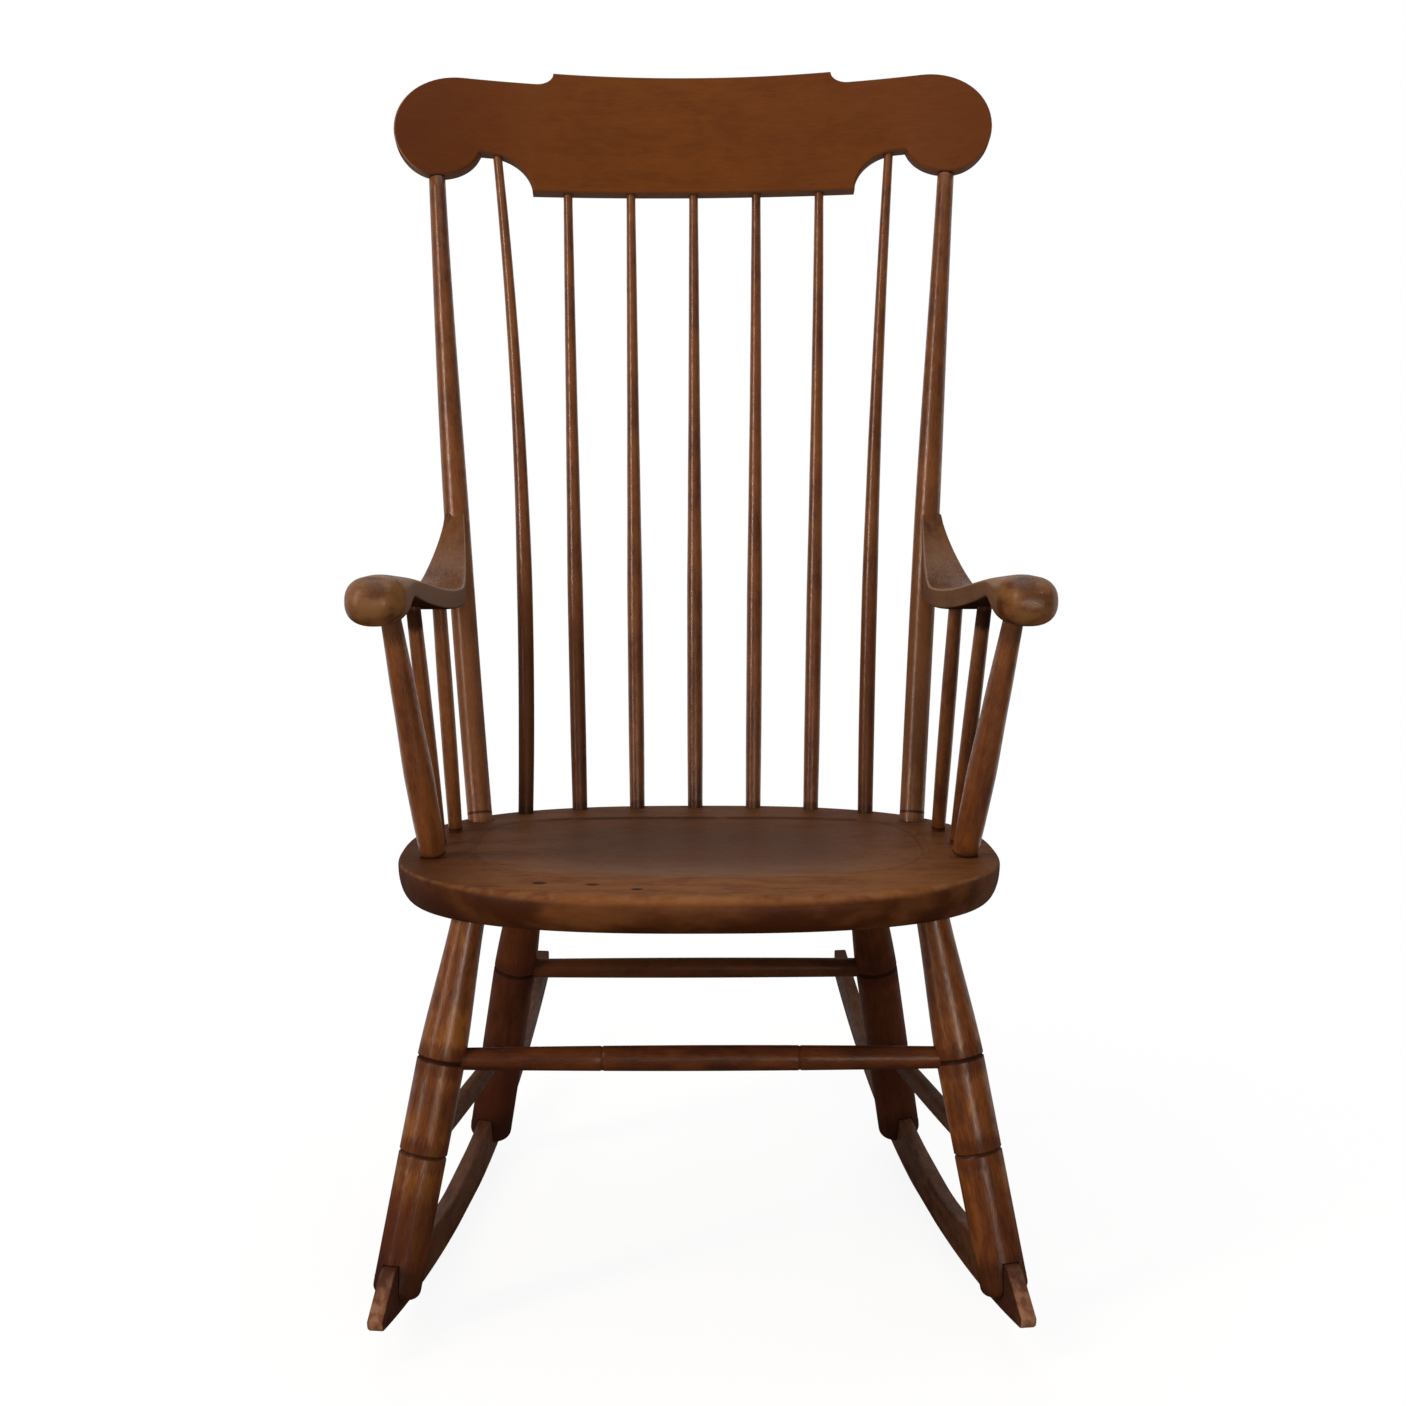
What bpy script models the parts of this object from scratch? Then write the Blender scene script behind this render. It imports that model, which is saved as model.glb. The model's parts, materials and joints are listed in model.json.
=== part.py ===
"""Spindle back rocking chair in solid wood.

A dished plank seat stands on four splayed turned legs, tied by four stretchers. The legs straddle
two curved rockers. Two bent posts and seven bent spindles carry a bowed crest rail, and each arm
runs from a rolled hand, over a turned arm post and two short spindles, to its back post.

Lengths are in metres and angles in degrees. The chair faces -Y. Left and right are the sitter's,
so left is +X. Most sizes are given in the seat's frame: its origin is in the seat's top face, in
the middle of the widest line, Y runs to the back and Z up. The level frame is the same frame with
the seat's slope taken out and Z counted from the floor.
"""
import math

import bmesh
import bpy
from mathutils import Matrix, Vector

# Seat
SEAT_HEIGHT = 0.375
SEAT_SLOPE = 4.9
SEAT_HALF_WIDTH = 0.2665
SEAT_FRONT_REACH = 0.231
SEAT_BACK_REACH = 0.270
SEAT_FRONT_SQUARENESS = 2.56
SEAT_BACK_SQUARENESS = 2.6
SEAT_THICKNESS = 0.034
SEAT_TOP_ROUND = 0.004
SEAT_UNDERCUT = 0.022

# Dished sitting area
DISH_SIDE_RIM = 0.0615
DISH_FRONT_RIM = 0.090
DISH_BACK_RIM = 0.079
DISH_FRONT_SQUARENESS = 2.5
DISH_BACK_SQUARENESS = 4.0
DISH_LIP = 0.0015
DISH_DEPTH = 0.009

# Legs
LEG_DIAMETER = 0.041
LEG_TOP_DIAMETER = 0.028
LEG_COVER = 0.012
LEG_RING_WIDTH = 0.006
LEG_RING_DEPTH = 0.0016
LEG_END_ROUND = 0.008
FRONT_LEG_INSET = 0.0455
FRONT_LEG_TOP_Y = -0.125
FRONT_FOOT_X = 0.260
FRONT_FOOT_Y = -0.184
FRONT_FOOT_RISE = 0.012
FRONT_LOW_RING = 0.124
FRONT_HIGH_RING = 0.2055
REAR_LEG_INSET = 0.074
REAR_LEG_TOP_Y = 0.169
REAR_FOOT_X = 0.208
REAR_FOOT_Y = 0.224
REAR_FOOT_RISE = 0.010
REAR_LOW_RING = 0.103
REAR_HIGH_RING = 0.196

# Stretchers
FRONT_STRETCHER_DIAMETER = 0.022
FRONT_STRETCHER_END = 0.0185
FRONT_STRETCHER_RING_X = 0.084
REAR_STRETCHER_DIAMETER = 0.0185
REAR_STRETCHER_END = 0.0165
SIDE_STRETCHER_DIAMETER = 0.018
SIDE_STRETCHER_END = 0.0155
STRETCHER_END_SETBACK = 0.004
STRETCHER_RING_WIDTH = 0.003
STRETCHER_RING_DEPTH = 0.0006

# Rockers
ROCKER_FRONT_RADIUS = 1.84
ROCKER_REAR_RADIUS = 1.145
ROCKER_FACET = 0.1
ROCKER_CONTACT_Y = 0.089
ROCKER_THICKNESS = 0.0135
ROCKER_TOE_REACH = 0.073
ROCKER_TAIL_REACH = 0.321
ROCKER_TOE_DEPTH = 0.009
ROCKER_FRONT_DEPTH = 0.047
ROCKER_WAIST_DEPTH = 0.033
ROCKER_REAR_DEPTH = 0.039
ROCKER_TAIL_DEPTH = 0.027
ROCKER_NOSE_ROUND = 0.005
ROCKER_PAD = 0.0246
ROCKER_PIN_DIAMETER = 0.006
ROCKER_PIN_SETBACK = 0.006

# Back posts and spindles
BACK_SOCKET_DEPTH = 0.026
POST_FOOT_INSET = 0.0575
POST_FOOT_BACK = 0.096
POST_FOOT_DIAMETER = 0.024
POST_ARM_DIAMETER = 0.025
POST_TOP_DIAMETER = 0.0168
POST_TENON_DIAMETER = 0.011
POST_TENON_LENGTH = 0.022
POST_SHOULDER_GAP = 0.0012
POST_BEND = 0.013
SPINDLE_STEPS = 3
SPINDLE_PITCH = 0.0565
SPINDLE_EDGE = 0.0128
SPINDLE_FOOT_DIAMETER = 0.0148
SPINDLE_SWELL_DIAMETER = 0.0156
SPINDLE_MIDDLE_DIAMETER = 0.0136
SPINDLE_SLIM_DIAMETER = 0.0118
SPINDLE_TOP_DIAMETER = 0.0092
SPINDLE_TENON_LENGTH = 0.020
SPINDLE_BEND = 0.014
OUTER_SPINDLE_FLARE = 0.006
OUTER_SPINDLE_COVE_SHARE = 0.88

# Crest rail; outline heights count up its face from the bottom edge
CREST_RISE = 0.618
CREST_SETBACK = 0.1565
CREST_TILT = 17.0
CREST_BOW_RADIUS = 0.98
CREST_THICKNESS = 0.018
CREST_HALF_LENGTH = 0.3055
CREST_HEIGHT = 0.1265
CREST_TOP_HALF = 0.143
CREST_STEP_RUN = 0.018
CREST_STEP_DROP = 0.012
CREST_BOTTOM_HALF = 0.166
CREST_COVE_RUN = 0.041
CREST_COVE_HEIGHT = 0.037
CREST_CUSP_FLAT = 0.0125
CREST_SCROLL_RADIUS = 0.0535
CREST_SCROLL_INNER = 0.030
CREST_SCROLL_HEIGHT = 0.1115
CREST_SCROLL_RISE = 0.0005
CREST_POST_INSET = 0.0455
CREST_SPINDLE_PITCH = 0.065
CREST_PIN_DIAMETER = 0.003
CREST_PIN_LENGTH = 0.010

# Arms; heights count from the seat's top face, and top insets inwards from the arm's middle line
HAND_FRONT_Y = -0.197
HAND_X = 0.268
HAND_WIDTH = 0.048
HAND_TOP = 0.2545
HAND_HEIGHT = 0.0415
HAND_LENGTH = 0.062
HAND_ROLL = 0.020
HAND_ROLL_SHARE = 0.6
HAND_HEEL = 0.055
HAND_SQUARENESS = 2.6
ARM_WIDTH = 0.046
ARM_THICKNESS = 0.021
ARM_DIP_TOP = 0.229
ARM_DIP_Y = 0.135
ARM_TIP_TOP = 0.291
ARM_TIP_WIDTH = 0.0205
ARM_ROOT_LIFT = 0.016
ARM_POST_OVERLAP = 0.007
ARM_END_SETBACK = 0.002
ARM_SQUARENESS = 4.5
ARM_SWING_POWER = 1.5
ARM_SWEEP_POWER = 2.2
ARM_ROW_INSET = 0.0308
ARM_POST_FOOT_Y = -0.035
ARM_POST_TOP_Y = -0.108
ARM_POST_TOP_INSET = -0.004
ARM_POST_FOOT_DIAMETER = 0.0225
ARM_POST_SWELL_DIAMETER = 0.026
ARM_POST_TOP_DIAMETER = 0.017
ARM_POST_LOW_SWELL = 0.7
ARM_POST_HIGH_TAPER = 0.4
ARM_SPINDLE_DIAMETER = 0.0142
ARM_SPINDLE_END_DIAMETER = 0.013
ARM_SPINDLE_FOOT_YS = (0.030, 0.104)
ARM_SPINDLE_TOP_YS = (-0.025, 0.060)
ARM_SPINDLE_TOP_INSETS = (0.001, 0.010)
ARM_SEAT_SOCKET = 0.022
ARM_SOCKET = 0.012
ARM_SCREW_LIFT = 0.008
ARM_SCREW_LENGTH = 0.040
ARM_SCREW_DIAMETER = 0.004
ARM_SCREW_HEAD_DIAMETER = 0.008
ARM_SCREW_HEAD_LENGTH = 0.003
ARM_PLUG_DIAMETER = 0.0095
ARM_PLUG_LENGTH = 0.006

# Fits and facets
CLEARANCE = 0.0003
MERGE = 0.00001
TURNED_SIDES = 16
SLIM_SIDES = 12
SEAT_SIDES = 64
ARM_SIDES = 16
ROCKER_TOP_PIECES = 30
CREST_PIECES = 24
SHARP_ANGLE = 35.0
SEAT_ROUND_ANGLES = (90, 70, 50, 30, 0)
DISH_STATIONS = (0.985, 0.85, 0.62, 0.32)
STRETCHER_STATIONS = (0.15, 0.3, 0.5, 0.7, 0.85)
POST_LOW_STATIONS = (0, 0.33, 0.67, 1)
POST_HIGH_STATIONS = (0.25, 0.5, 0.75)
SPINDLE_STATIONS = (0, 0.12, 0.22, 0.34, 0.5, 0.67, 0.84, 1)
ARM_POST_STATIONS = (0, 0.16, 0.33, 0.6, 1)
ARM_SPINDLE_STATIONS = (0, 0.35, 0.65, 1)
HAND_STATIONS = (0.04, 0.2, 0.5, 1.0)
ARM_STATIONS = (0.33, 0.66, 1.0)
SWEEP_STATIONS = (0.3, 0.55, 0.75, 0.9, 1.0)

# Finishes: linear base colour and roughness
MAPLE = ((0.135, 0.047, 0.014, 1.0), 0.38)
DARK_MAPLE = ((0.060, 0.020, 0.008, 1.0), 0.45)
WORN_MAPLE = ((0.160, 0.060, 0.020, 1.0), 0.34)
STEEL = ((0.350, 0.340, 0.320, 1.0), 0.40)

SIDES = (("left", 1), ("right", -1))
SEAT_FRAME = Matrix.Translation((0, 0, SEAT_HEIGHT)) @ Matrix.Rotation(-math.radians(SEAT_SLOPE), 4, "X")


def ease(value):
    """Rise from 0 to 1 with level ends."""
    value = min(max(value, 0.0), 1.0)
    return value * value * (3 - 2 * value)


def mix(start, end, share):
    """The value a share of the way from start to end."""
    return start + (end - start) * share


def mirrored(point, side):
    """A point with its X turned to the given side."""
    return Vector((point[0] * side, point[1], point[2]))


def from_seat(point):
    """A point of the seat's frame in the level frame."""
    return SEAT_FRAME @ Vector(point)


# Scene, solids and cuts

def clear_scene():
    """Remove every object, so that the chair is built in an empty scene."""
    for old in list(bpy.data.objects):
        bpy.data.objects.remove(old, do_unlink=True)


def new_collection(name):
    """A collection of that name under the scene."""
    collection = bpy.data.collections.new(name)
    bpy.context.scene.collection.children.link(collection)
    return collection


def finish(name, look, metallic=0.0):
    """A Principled material with one colour and roughness."""
    colour, roughness = look
    material = bpy.data.materials.new(name)
    material.use_nodes = True
    shader = material.node_tree.nodes["Principled BSDF"]
    shader.inputs["Base Color"].default_value = colour
    shader.inputs["Roughness"].default_value = roughness
    shader.inputs["Metallic"].default_value = metallic
    return material


class Workshop:
    """Keeps the chair's frame and makes its solids, as parts or as cutters."""

    def __init__(self):
        self.parts = new_collection("spindle_back_rocking_chair")
        self.cutters = new_collection("cutters")
        self.frame = bpy.data.objects.new("chair", None)
        self.parts.objects.link(self.frame)

    def keep(self, solid, look, metallic=0.0):
        """Add a solid to the chair as a part."""
        self.parts.objects.link(solid)
        solid.parent = self.frame
        solid.data.materials.clear()
        solid.data.materials.append(finish(solid.name + "_finish", look, metallic))
        return solid

    def keep_cutter(self, solid):
        """Add a solid that only cuts others."""
        self.cutters.objects.link(solid)
        solid.parent = self.frame
        solid.hide_render = True
        solid.display_type = "WIRE"
        return solid

    def solid_of_curve(self, name, curve):
        """The mesh object that a curve makes, with its caps welded on."""
        draft = bpy.data.objects.new(name + "_curve", curve)
        self.cutters.objects.link(draft)
        depsgraph = bpy.context.evaluated_depsgraph_get()
        mesh = bpy.data.meshes.new_from_object(draft.evaluated_get(depsgraph))
        bpy.data.objects.remove(draft, do_unlink=True)
        shape = bmesh.new()
        shape.from_mesh(mesh)
        bmesh.ops.remove_doubles(shape, verts=shape.verts, dist=MERGE)
        return solid_of_shape(name, shape, mesh)

    def board(self, name, outline, thickness):
        """A flat board: an outline in its own XY plane, extruded half its thickness each way."""
        curve = bpy.data.curves.new(name, "CURVE")
        curve.dimensions = "2D"
        curve.fill_mode = "BOTH"
        curve.extrude = thickness / 2
        spline = curve.splines.new("POLY")
        spline.points.add(len(outline) - 1)
        for point, (x, y) in zip(spline.points, outline):
            point.co = (x, y, 0, 1)
        spline.use_cyclic_u = True
        return self.solid_of_curve(name, curve)

    def bent(self, name, route, radii, grow=0.0):
        """A round rod along a route of level points, with a radius at each."""
        start = route[0] + (route[0] - route[1]).normalized() * grow
        end = route[-1] + (route[-1] - route[-2]).normalized() * grow
        curve = bpy.data.curves.new(name, "CURVE")
        curve.dimensions = "3D"
        curve.bevel_depth = max(radii)
        curve.bevel_resolution = (SLIM_SIDES - 4) // 2
        curve.use_fill_caps = True
        spline = curve.splines.new("POLY")
        spline.points.add(len(route) - 1)
        for point, place, radius in zip(spline.points, [start, *route[1:-1], end], radii):
            point.co = (*place, 1)
            point.radius = (radius + grow) / curve.bevel_depth
        return self.solid_of_curve(name, curve)


def solid_of_shape(name, shape, mesh=None):
    """A smooth shaded mesh object of a bmesh, with its faces turned outwards."""
    mesh = mesh or bpy.data.meshes.new(name)
    bmesh.ops.recalc_face_normals(shape, faces=shape.faces)
    shape.to_mesh(mesh)
    shape.free()
    mesh.name = name
    mesh.shade_smooth()
    mesh.set_sharp_from_angle(angle=math.radians(SHARP_ANGLE))
    return bpy.data.objects.new(name, mesh)


def loft(name, rings):
    """A closed solid through rings of equally many points, with flat ends."""
    shape = bmesh.new()
    rows = [[shape.verts.new(point) for point in ring] for ring in rings]
    for row, following in zip(rows, rows[1:]):
        for i in range(len(row)):
            shape.faces.new((row[i - 1], row[i], following[i], following[i - 1]))
    shape.faces.new(rows[0])
    shape.faces.new(rows[-1])
    return solid_of_shape(name, shape)


def turned(name, start, end, profile, grow=0.0, sides=TURNED_SIDES):
    """A solid turned about the line from start to end; the profile is (distance, radius) pairs."""
    distances = [distance for distance, radius in profile]
    distances[0] -= grow
    distances[-1] += grow
    edge = [(radius + grow, 0, distance) for (_, radius), distance in zip(profile, distances)]
    edge = [(0, 0, distances[0]), *edge, (0, 0, distances[-1])]
    edge.reverse()
    mesh = bpy.data.meshes.new(name)
    mesh.from_pydata(edge, [(i, i + 1) for i in range(len(edge) - 1)], [])
    solid = bpy.data.objects.new(name, mesh)
    screw = solid.modifiers.new("turn", "SCREW")
    screw.axis = "Z"
    screw.steps = sides
    screw.render_steps = sides
    screw.use_merge_vertices = True
    screw.merge_threshold = MERGE
    weld = solid.modifiers.new("weld_ends", "WELD")
    weld.merge_threshold = MERGE
    solid.location = start
    solid.rotation_mode = "QUATERNION"
    solid.rotation_quaternion = (Vector(end) - Vector(start)).to_track_quat("Z", "Y")
    return solid


def cut(solid, cutters, operation="DIFFERENCE"):
    """Cut a solid with others, or keep only what it shares with them."""
    for cutter in cutters:
        boolean = solid.modifiers.new(operation.lower() + "_" + cutter.name, "BOOLEAN")
        boolean.operation = operation
        boolean.solver = "EXACT"
        boolean.object = cutter


# Seat

def oval(half_width, front, back, front_squareness, back_squareness, angle):
    """The point of a squared oval in a direction from its middle."""
    reach = back if math.sin(angle) > 0 else front
    power = back_squareness if math.sin(angle) > 0 else front_squareness
    across = abs(math.cos(angle)) / half_width
    along = abs(math.sin(angle)) / reach
    radius = (across ** power + along ** power) ** (-1 / power)
    return radius * math.cos(angle), radius * math.sin(angle)


def seat_ring(inset, height):
    """The seat's outline moved in by an inset, at a height."""
    ring = []
    for i in range(SEAT_SIDES):
        x, y = oval(SEAT_HALF_WIDTH - inset, SEAT_FRONT_REACH - inset, SEAT_BACK_REACH - inset,
                    SEAT_FRONT_SQUARENESS, SEAT_BACK_SQUARENESS, math.tau * i / SEAT_SIDES)
        ring.append((x, y, height))
    return ring


def dish_ring(share, height):
    """The dish's outline drawn in to a share of its size, at a height."""
    front = SEAT_FRONT_REACH - DISH_FRONT_RIM
    back = SEAT_BACK_REACH - DISH_BACK_RIM
    middle = (back - front) / 2
    ring = []
    for i in range(SEAT_SIDES):
        x, y = oval(SEAT_HALF_WIDTH - DISH_SIDE_RIM, front + middle, back - middle,
                    DISH_FRONT_SQUARENESS, DISH_BACK_SQUARENESS, math.tau * i / SEAT_SIDES)
        ring.append((x * share, y * share + middle, height))
    return ring


def seat_half_width(y):
    """Half the seat's width on a line across it."""
    reach = SEAT_BACK_REACH if y > 0 else SEAT_FRONT_REACH
    power = SEAT_BACK_SQUARENESS if y > 0 else SEAT_FRONT_SQUARENESS
    return SEAT_HALF_WIDTH * (1 - (abs(y) / reach) ** power) ** (1 / power)


def make_seat():
    """The plank seat: a crisp upper edge, a full round below it, and a dish with a fine lip."""
    low_round = SEAT_THICKNESS - SEAT_TOP_ROUND
    rings = []
    for angle in SEAT_ROUND_ANGLES:
        inset = SEAT_UNDERCUT * (1 - math.cos(math.radians(angle)))
        rings.append(seat_ring(inset, -SEAT_TOP_ROUND - low_round * math.sin(math.radians(angle))))
    for angle in (45, 90):
        inset = SEAT_TOP_ROUND * (1 - math.cos(math.radians(angle)))
        rings.append(seat_ring(inset, -SEAT_TOP_ROUND * (1 - math.sin(math.radians(angle)))))
    rings.append(dish_ring(1.0, 0.0))
    for share in DISH_STATIONS:
        rings.append(dish_ring(share, -DISH_LIP - (DISH_DEPTH - DISH_LIP) * (1 - share ** 2)))
    seat = loft("seat", rings)
    seat.matrix_basis = SEAT_FRAME
    return seat


# Rockers and legs

def rocker_turn():
    """The angle that each rocker toes in towards the back."""
    return math.atan2(FRONT_FOOT_X - REAR_FOOT_X, REAR_FOOT_Y - FRONT_FOOT_Y)


def rocker_x(y):
    """The rocker's middle plane on a line across the chair."""
    return FRONT_FOOT_X - (y - FRONT_FOOT_Y) * math.tan(rocker_turn())


def rocker_run(y):
    """The distance along a rocker from its contact to a line across the chair."""
    return (y - ROCKER_CONTACT_Y) / math.cos(rocker_turn())


def rocker_floor(run):
    """The height of a rocker's bottom arc, flatter to the toe; its middle facet lies on the floor."""
    radius = ROCKER_FRONT_RADIUS if run < 0 else ROCKER_REAR_RADIUS
    centre = math.sqrt(radius ** 2 - (ROCKER_FACET / 2) ** 2)
    return max(centre - math.sqrt(radius ** 2 - run ** 2), 0.0)


def rocker_top(run):
    """The height of a rocker's upper edge, fuller where it carries the legs."""
    front, rear = rocker_run(FRONT_FOOT_Y), rocker_run(REAR_FOOT_Y)
    toe, tail = front - ROCKER_TOE_REACH, rear + ROCKER_TAIL_REACH
    waist = (front + rear) / 2
    front_pad = front + ROCKER_PAD
    if run < front - ROCKER_PAD:
        share = (run - toe) / (front - ROCKER_PAD - toe)
        depth = mix(ROCKER_TOE_DEPTH, ROCKER_FRONT_DEPTH, share)
    elif run < waist:
        share = ease((run - front_pad) / (waist - front_pad))
        depth = mix(ROCKER_FRONT_DEPTH, ROCKER_WAIST_DEPTH, share)
    elif run < rear:
        share = ease((run - waist) / (rear - ROCKER_PAD - waist))
        depth = mix(ROCKER_WAIST_DEPTH, ROCKER_REAR_DEPTH, share)
    else:
        share = (run - rear) / (tail - rear)
        depth = mix(ROCKER_REAR_DEPTH, ROCKER_TAIL_DEPTH, share)
    return rocker_floor(run) + depth


def rocker_outline(grow=0.0):
    """A rocker's side outline as (run, height) points, from the toe along the floor and back."""
    toe = rocker_run(FRONT_FOOT_Y) - ROCKER_TOE_REACH
    tail = rocker_run(REAR_FOOT_Y) + ROCKER_TAIL_REACH
    first = math.ceil((toe + ROCKER_NOSE_ROUND) / ROCKER_FACET - 0.5)
    last = math.floor((tail - ROCKER_NOSE_ROUND) / ROCKER_FACET - 0.5)
    outline = [(toe, rocker_floor(toe) + ROCKER_NOSE_ROUND - grow)]
    outline.append((toe + ROCKER_NOSE_ROUND, rocker_floor(toe + ROCKER_NOSE_ROUND) - grow))
    for i in range(first, last + 1):
        run = ROCKER_FACET * (i + 0.5)
        outline.append((run, rocker_floor(run) - grow))
    outline.append((tail - ROCKER_NOSE_ROUND, rocker_floor(tail - ROCKER_NOSE_ROUND) - grow))
    outline.append((tail, rocker_floor(tail) + ROCKER_NOSE_ROUND - grow))
    for i in range(ROCKER_TOP_PIECES + 1):
        run = mix(tail, toe, i / ROCKER_TOP_PIECES)
        outline.append((run, rocker_top(run) + grow))
    return outline


def rocker_frame(side):
    """The place of a rocker: its outline's X along the board, its Y up, from the contact point."""
    turn = rocker_turn()
    along = Vector((-math.sin(turn) * side, math.cos(turn), 0))
    up = Vector((0, 0, 1))
    frame = Matrix((along, up, along.cross(up))).transposed().to_4x4()
    frame.translation = (rocker_x(ROCKER_CONTACT_Y) * side, ROCKER_CONTACT_Y, 0)
    return frame


class Leg:
    """One pair of legs: the left one's axis, from its foot to the seat's underside, and its rings."""

    def __init__(self, inset, top_y, foot, rise, low_ring, high_ring):
        foot_x, foot_y = foot
        self.foot = Vector((foot_x, foot_y, rocker_floor(rocker_run(foot_y)) + rise))
        self.seat_point = from_seat((seat_half_width(top_y) - inset, top_y, -SEAT_THICKNESS))
        self.length = (self.seat_point - self.foot).length
        self.low_ring = low_ring
        self.high_ring = high_ring

    def at(self, distance, side):
        """The axis point at a distance up from the foot."""
        return mirrored(self.foot.lerp(self.seat_point, distance / self.length), side)

    def profile(self):
        """Rounded foot, even lower half with two cut rings, and a taper up to the seat."""
        radius = LEG_DIAMETER / 2
        half_ring = LEG_RING_WIDTH / 2
        profile = []
        for angle in (0, 45, 90):
            turn = math.radians(angle)
            drawn_in = LEG_END_ROUND * (1 - math.sin(turn))
            profile.append((LEG_END_ROUND * (1 - math.cos(turn)), radius - drawn_in))
        for ring in (self.low_ring, self.high_ring):
            profile.append((ring - half_ring, radius))
            profile.append((ring, radius - LEG_RING_DEPTH))
            profile.append((ring + half_ring, radius))
        axis = (self.seat_point - self.foot).normalized()
        seat_normal = SEAT_FRAME.to_3x3() @ Vector((0, 0, 1))
        socket = (SEAT_THICKNESS - LEG_COVER) / axis.dot(seat_normal)
        profile += [(self.length, LEG_TOP_DIAMETER / 2), (self.length + socket, LEG_TOP_DIAMETER / 2)]
        return profile

    def make(self, name, side, grow=0.0):
        """The leg, or with grow the shape of its socket."""
        return turned(name, self.at(0, side), self.at(self.length, side), self.profile(), grow)

    def pin_line(self, side):
        """The ends of the pin through the rocker, from outside, and the way in."""
        middle = (self.foot.z + rocker_top(rocker_run(self.foot.y))) / 2
        share = (middle - self.foot.z) / (self.seat_point.z - self.foot.z)
        axis_point = self.foot.lerp(self.seat_point, share)
        turn = rocker_turn()
        outward = Vector((math.cos(turn), math.sin(turn), 0))
        outer = axis_point + outward * (LEG_DIAMETER / 2 + CLEARANCE)
        inner = axis_point - outward * (LEG_DIAMETER / 2 - ROCKER_PIN_SETBACK)
        return mirrored(outer, side), mirrored(inner, side)


def make_pin(name, start, end, diameter, length=None, grow=0.0):
    """A plain round pin from start towards end, or only so long."""
    length = length or (end - start).length
    return turned(name, start, end, [(0, diameter / 2), (length, diameter / 2)], grow, SLIM_SIDES)


def make_stretcher(name, start, end, middle_diameter, end_diameter, ring_x=None, grow=0.0):
    """A turned stretcher that swells to its middle, between two leg axes."""
    length = (end - start).length
    half_ring = STRETCHER_RING_WIDTH / 2

    def radius(distance):
        swell = math.sin(math.pi * distance / length)
        return mix(end_diameter, middle_diameter, swell) / 2

    stops = [STRETCHER_END_SETBACK, *(length * share for share in STRETCHER_STATIONS)]
    profile = [(stop, radius(stop)) for stop in [*stops, length - STRETCHER_END_SETBACK]]
    if ring_x:
        for ring in (length / 2 - ring_x, length / 2 + ring_x):
            profile += [(ring - half_ring, radius(ring)), (ring + half_ring, radius(ring))]
            profile.append((ring, radius(ring) - STRETCHER_RING_DEPTH))
    return turned(name, start, end, sorted(profile), grow)


# Back

class Stick:
    """A bent stick of the back on the left side or in the middle, from the seat up to the crest rail."""

    def __init__(self, foot, head, bend, flare=0.0):
        self.foot = Vector(foot)
        self.head = Vector(head)
        self.bend = bend
        self.flare = flare

    def at(self, share):
        """The axis point a share of the way up, in the seat's frame."""
        bow = 4 * share * (1 - share)
        return self.foot.lerp(self.head, share) - Vector((self.flare, self.bend, 0)) * bow

    def at_height(self, height):
        """The axis point at a height above the seat's top face."""
        return self.at((height - self.foot.z) / (self.head.z - self.foot.z))

    def end_way(self, share):
        """The axis direction at the foot (0) or at the head (1)."""
        bow_rate = 4 - 8 * share
        return (self.head - self.foot - Vector((self.flare, self.bend, 0)) * bow_rate).normalized()

    def past_foot(self, distance):
        """The axis point below the seat's top face."""
        return self.foot - self.end_way(0) * distance

    def past_head(self, distance):
        """The axis point beyond the crest rail's lower edge."""
        return self.head + self.end_way(1) * distance


def crest_bow(u):
    """How far back the crest rail's middle surface lies at a distance from its middle."""
    return math.sqrt(CREST_BOW_RADIUS ** 2 - u ** 2) - CREST_BOW_RADIUS


def spindle_row_y(x):
    """A spindle's foot on the seat's back outline, moved in by a set distance."""
    across = (x / (SEAT_HALF_WIDTH - SPINDLE_EDGE)) ** SEAT_BACK_SQUARENESS
    return (SEAT_BACK_REACH - SPINDLE_EDGE) * (1 - across) ** (1 / SEAT_BACK_SQUARENESS)


def crest_frame():
    """The crest rail's frame in the seat's: X across, Y to the back through its face, Z up its face."""
    place = Matrix.Translation((0, spindle_row_y(0) + CREST_SETBACK, CREST_RISE))
    return place @ Matrix.Rotation(-math.radians(CREST_TILT), 4, "X")


def on_crest(u, height):
    """A point in the middle of the crest rail's thickness, in the seat's frame."""
    return crest_frame() @ Vector((u, crest_bow(u), height))


def crest_outline():
    """The crest rail's outline: stepped top, round scroll ends and coves down to the bottom edge."""
    scroll_u = CREST_HALF_LENGTH - CREST_SCROLL_RADIUS
    scroll_v = CREST_SCROLL_RISE + CREST_SCROLL_HEIGHT / 2
    neck_u = CREST_TOP_HALF + CREST_STEP_RUN
    cove_u = CREST_BOTTOM_HALF + CREST_COVE_RUN
    half = []
    for angle in (180, 210, 240, 270):
        turn = math.radians(angle)
        drop = CREST_STEP_DROP * math.sin(turn)
        half.append((neck_u + CREST_STEP_RUN * math.cos(turn), CREST_HEIGHT + drop))
    for angle in range(90, -151, -15):
        turn = math.radians(angle)
        reach = CREST_SCROLL_RADIUS if angle > -90 else CREST_SCROLL_INNER
        rise = CREST_SCROLL_HEIGHT / 2 * math.sin(turn)
        half.append((scroll_u + reach * math.cos(turn), scroll_v + rise))
    half.append((cove_u + CREST_CUSP_FLAT, CREST_COVE_HEIGHT))
    for angle in range(90, 181, 15):
        turn = math.radians(angle)
        half.append((cove_u + CREST_COVE_RUN * math.cos(turn), CREST_COVE_HEIGHT * math.sin(turn)))
    return half + [(-u, v) for u, v in reversed(half)]


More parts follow.
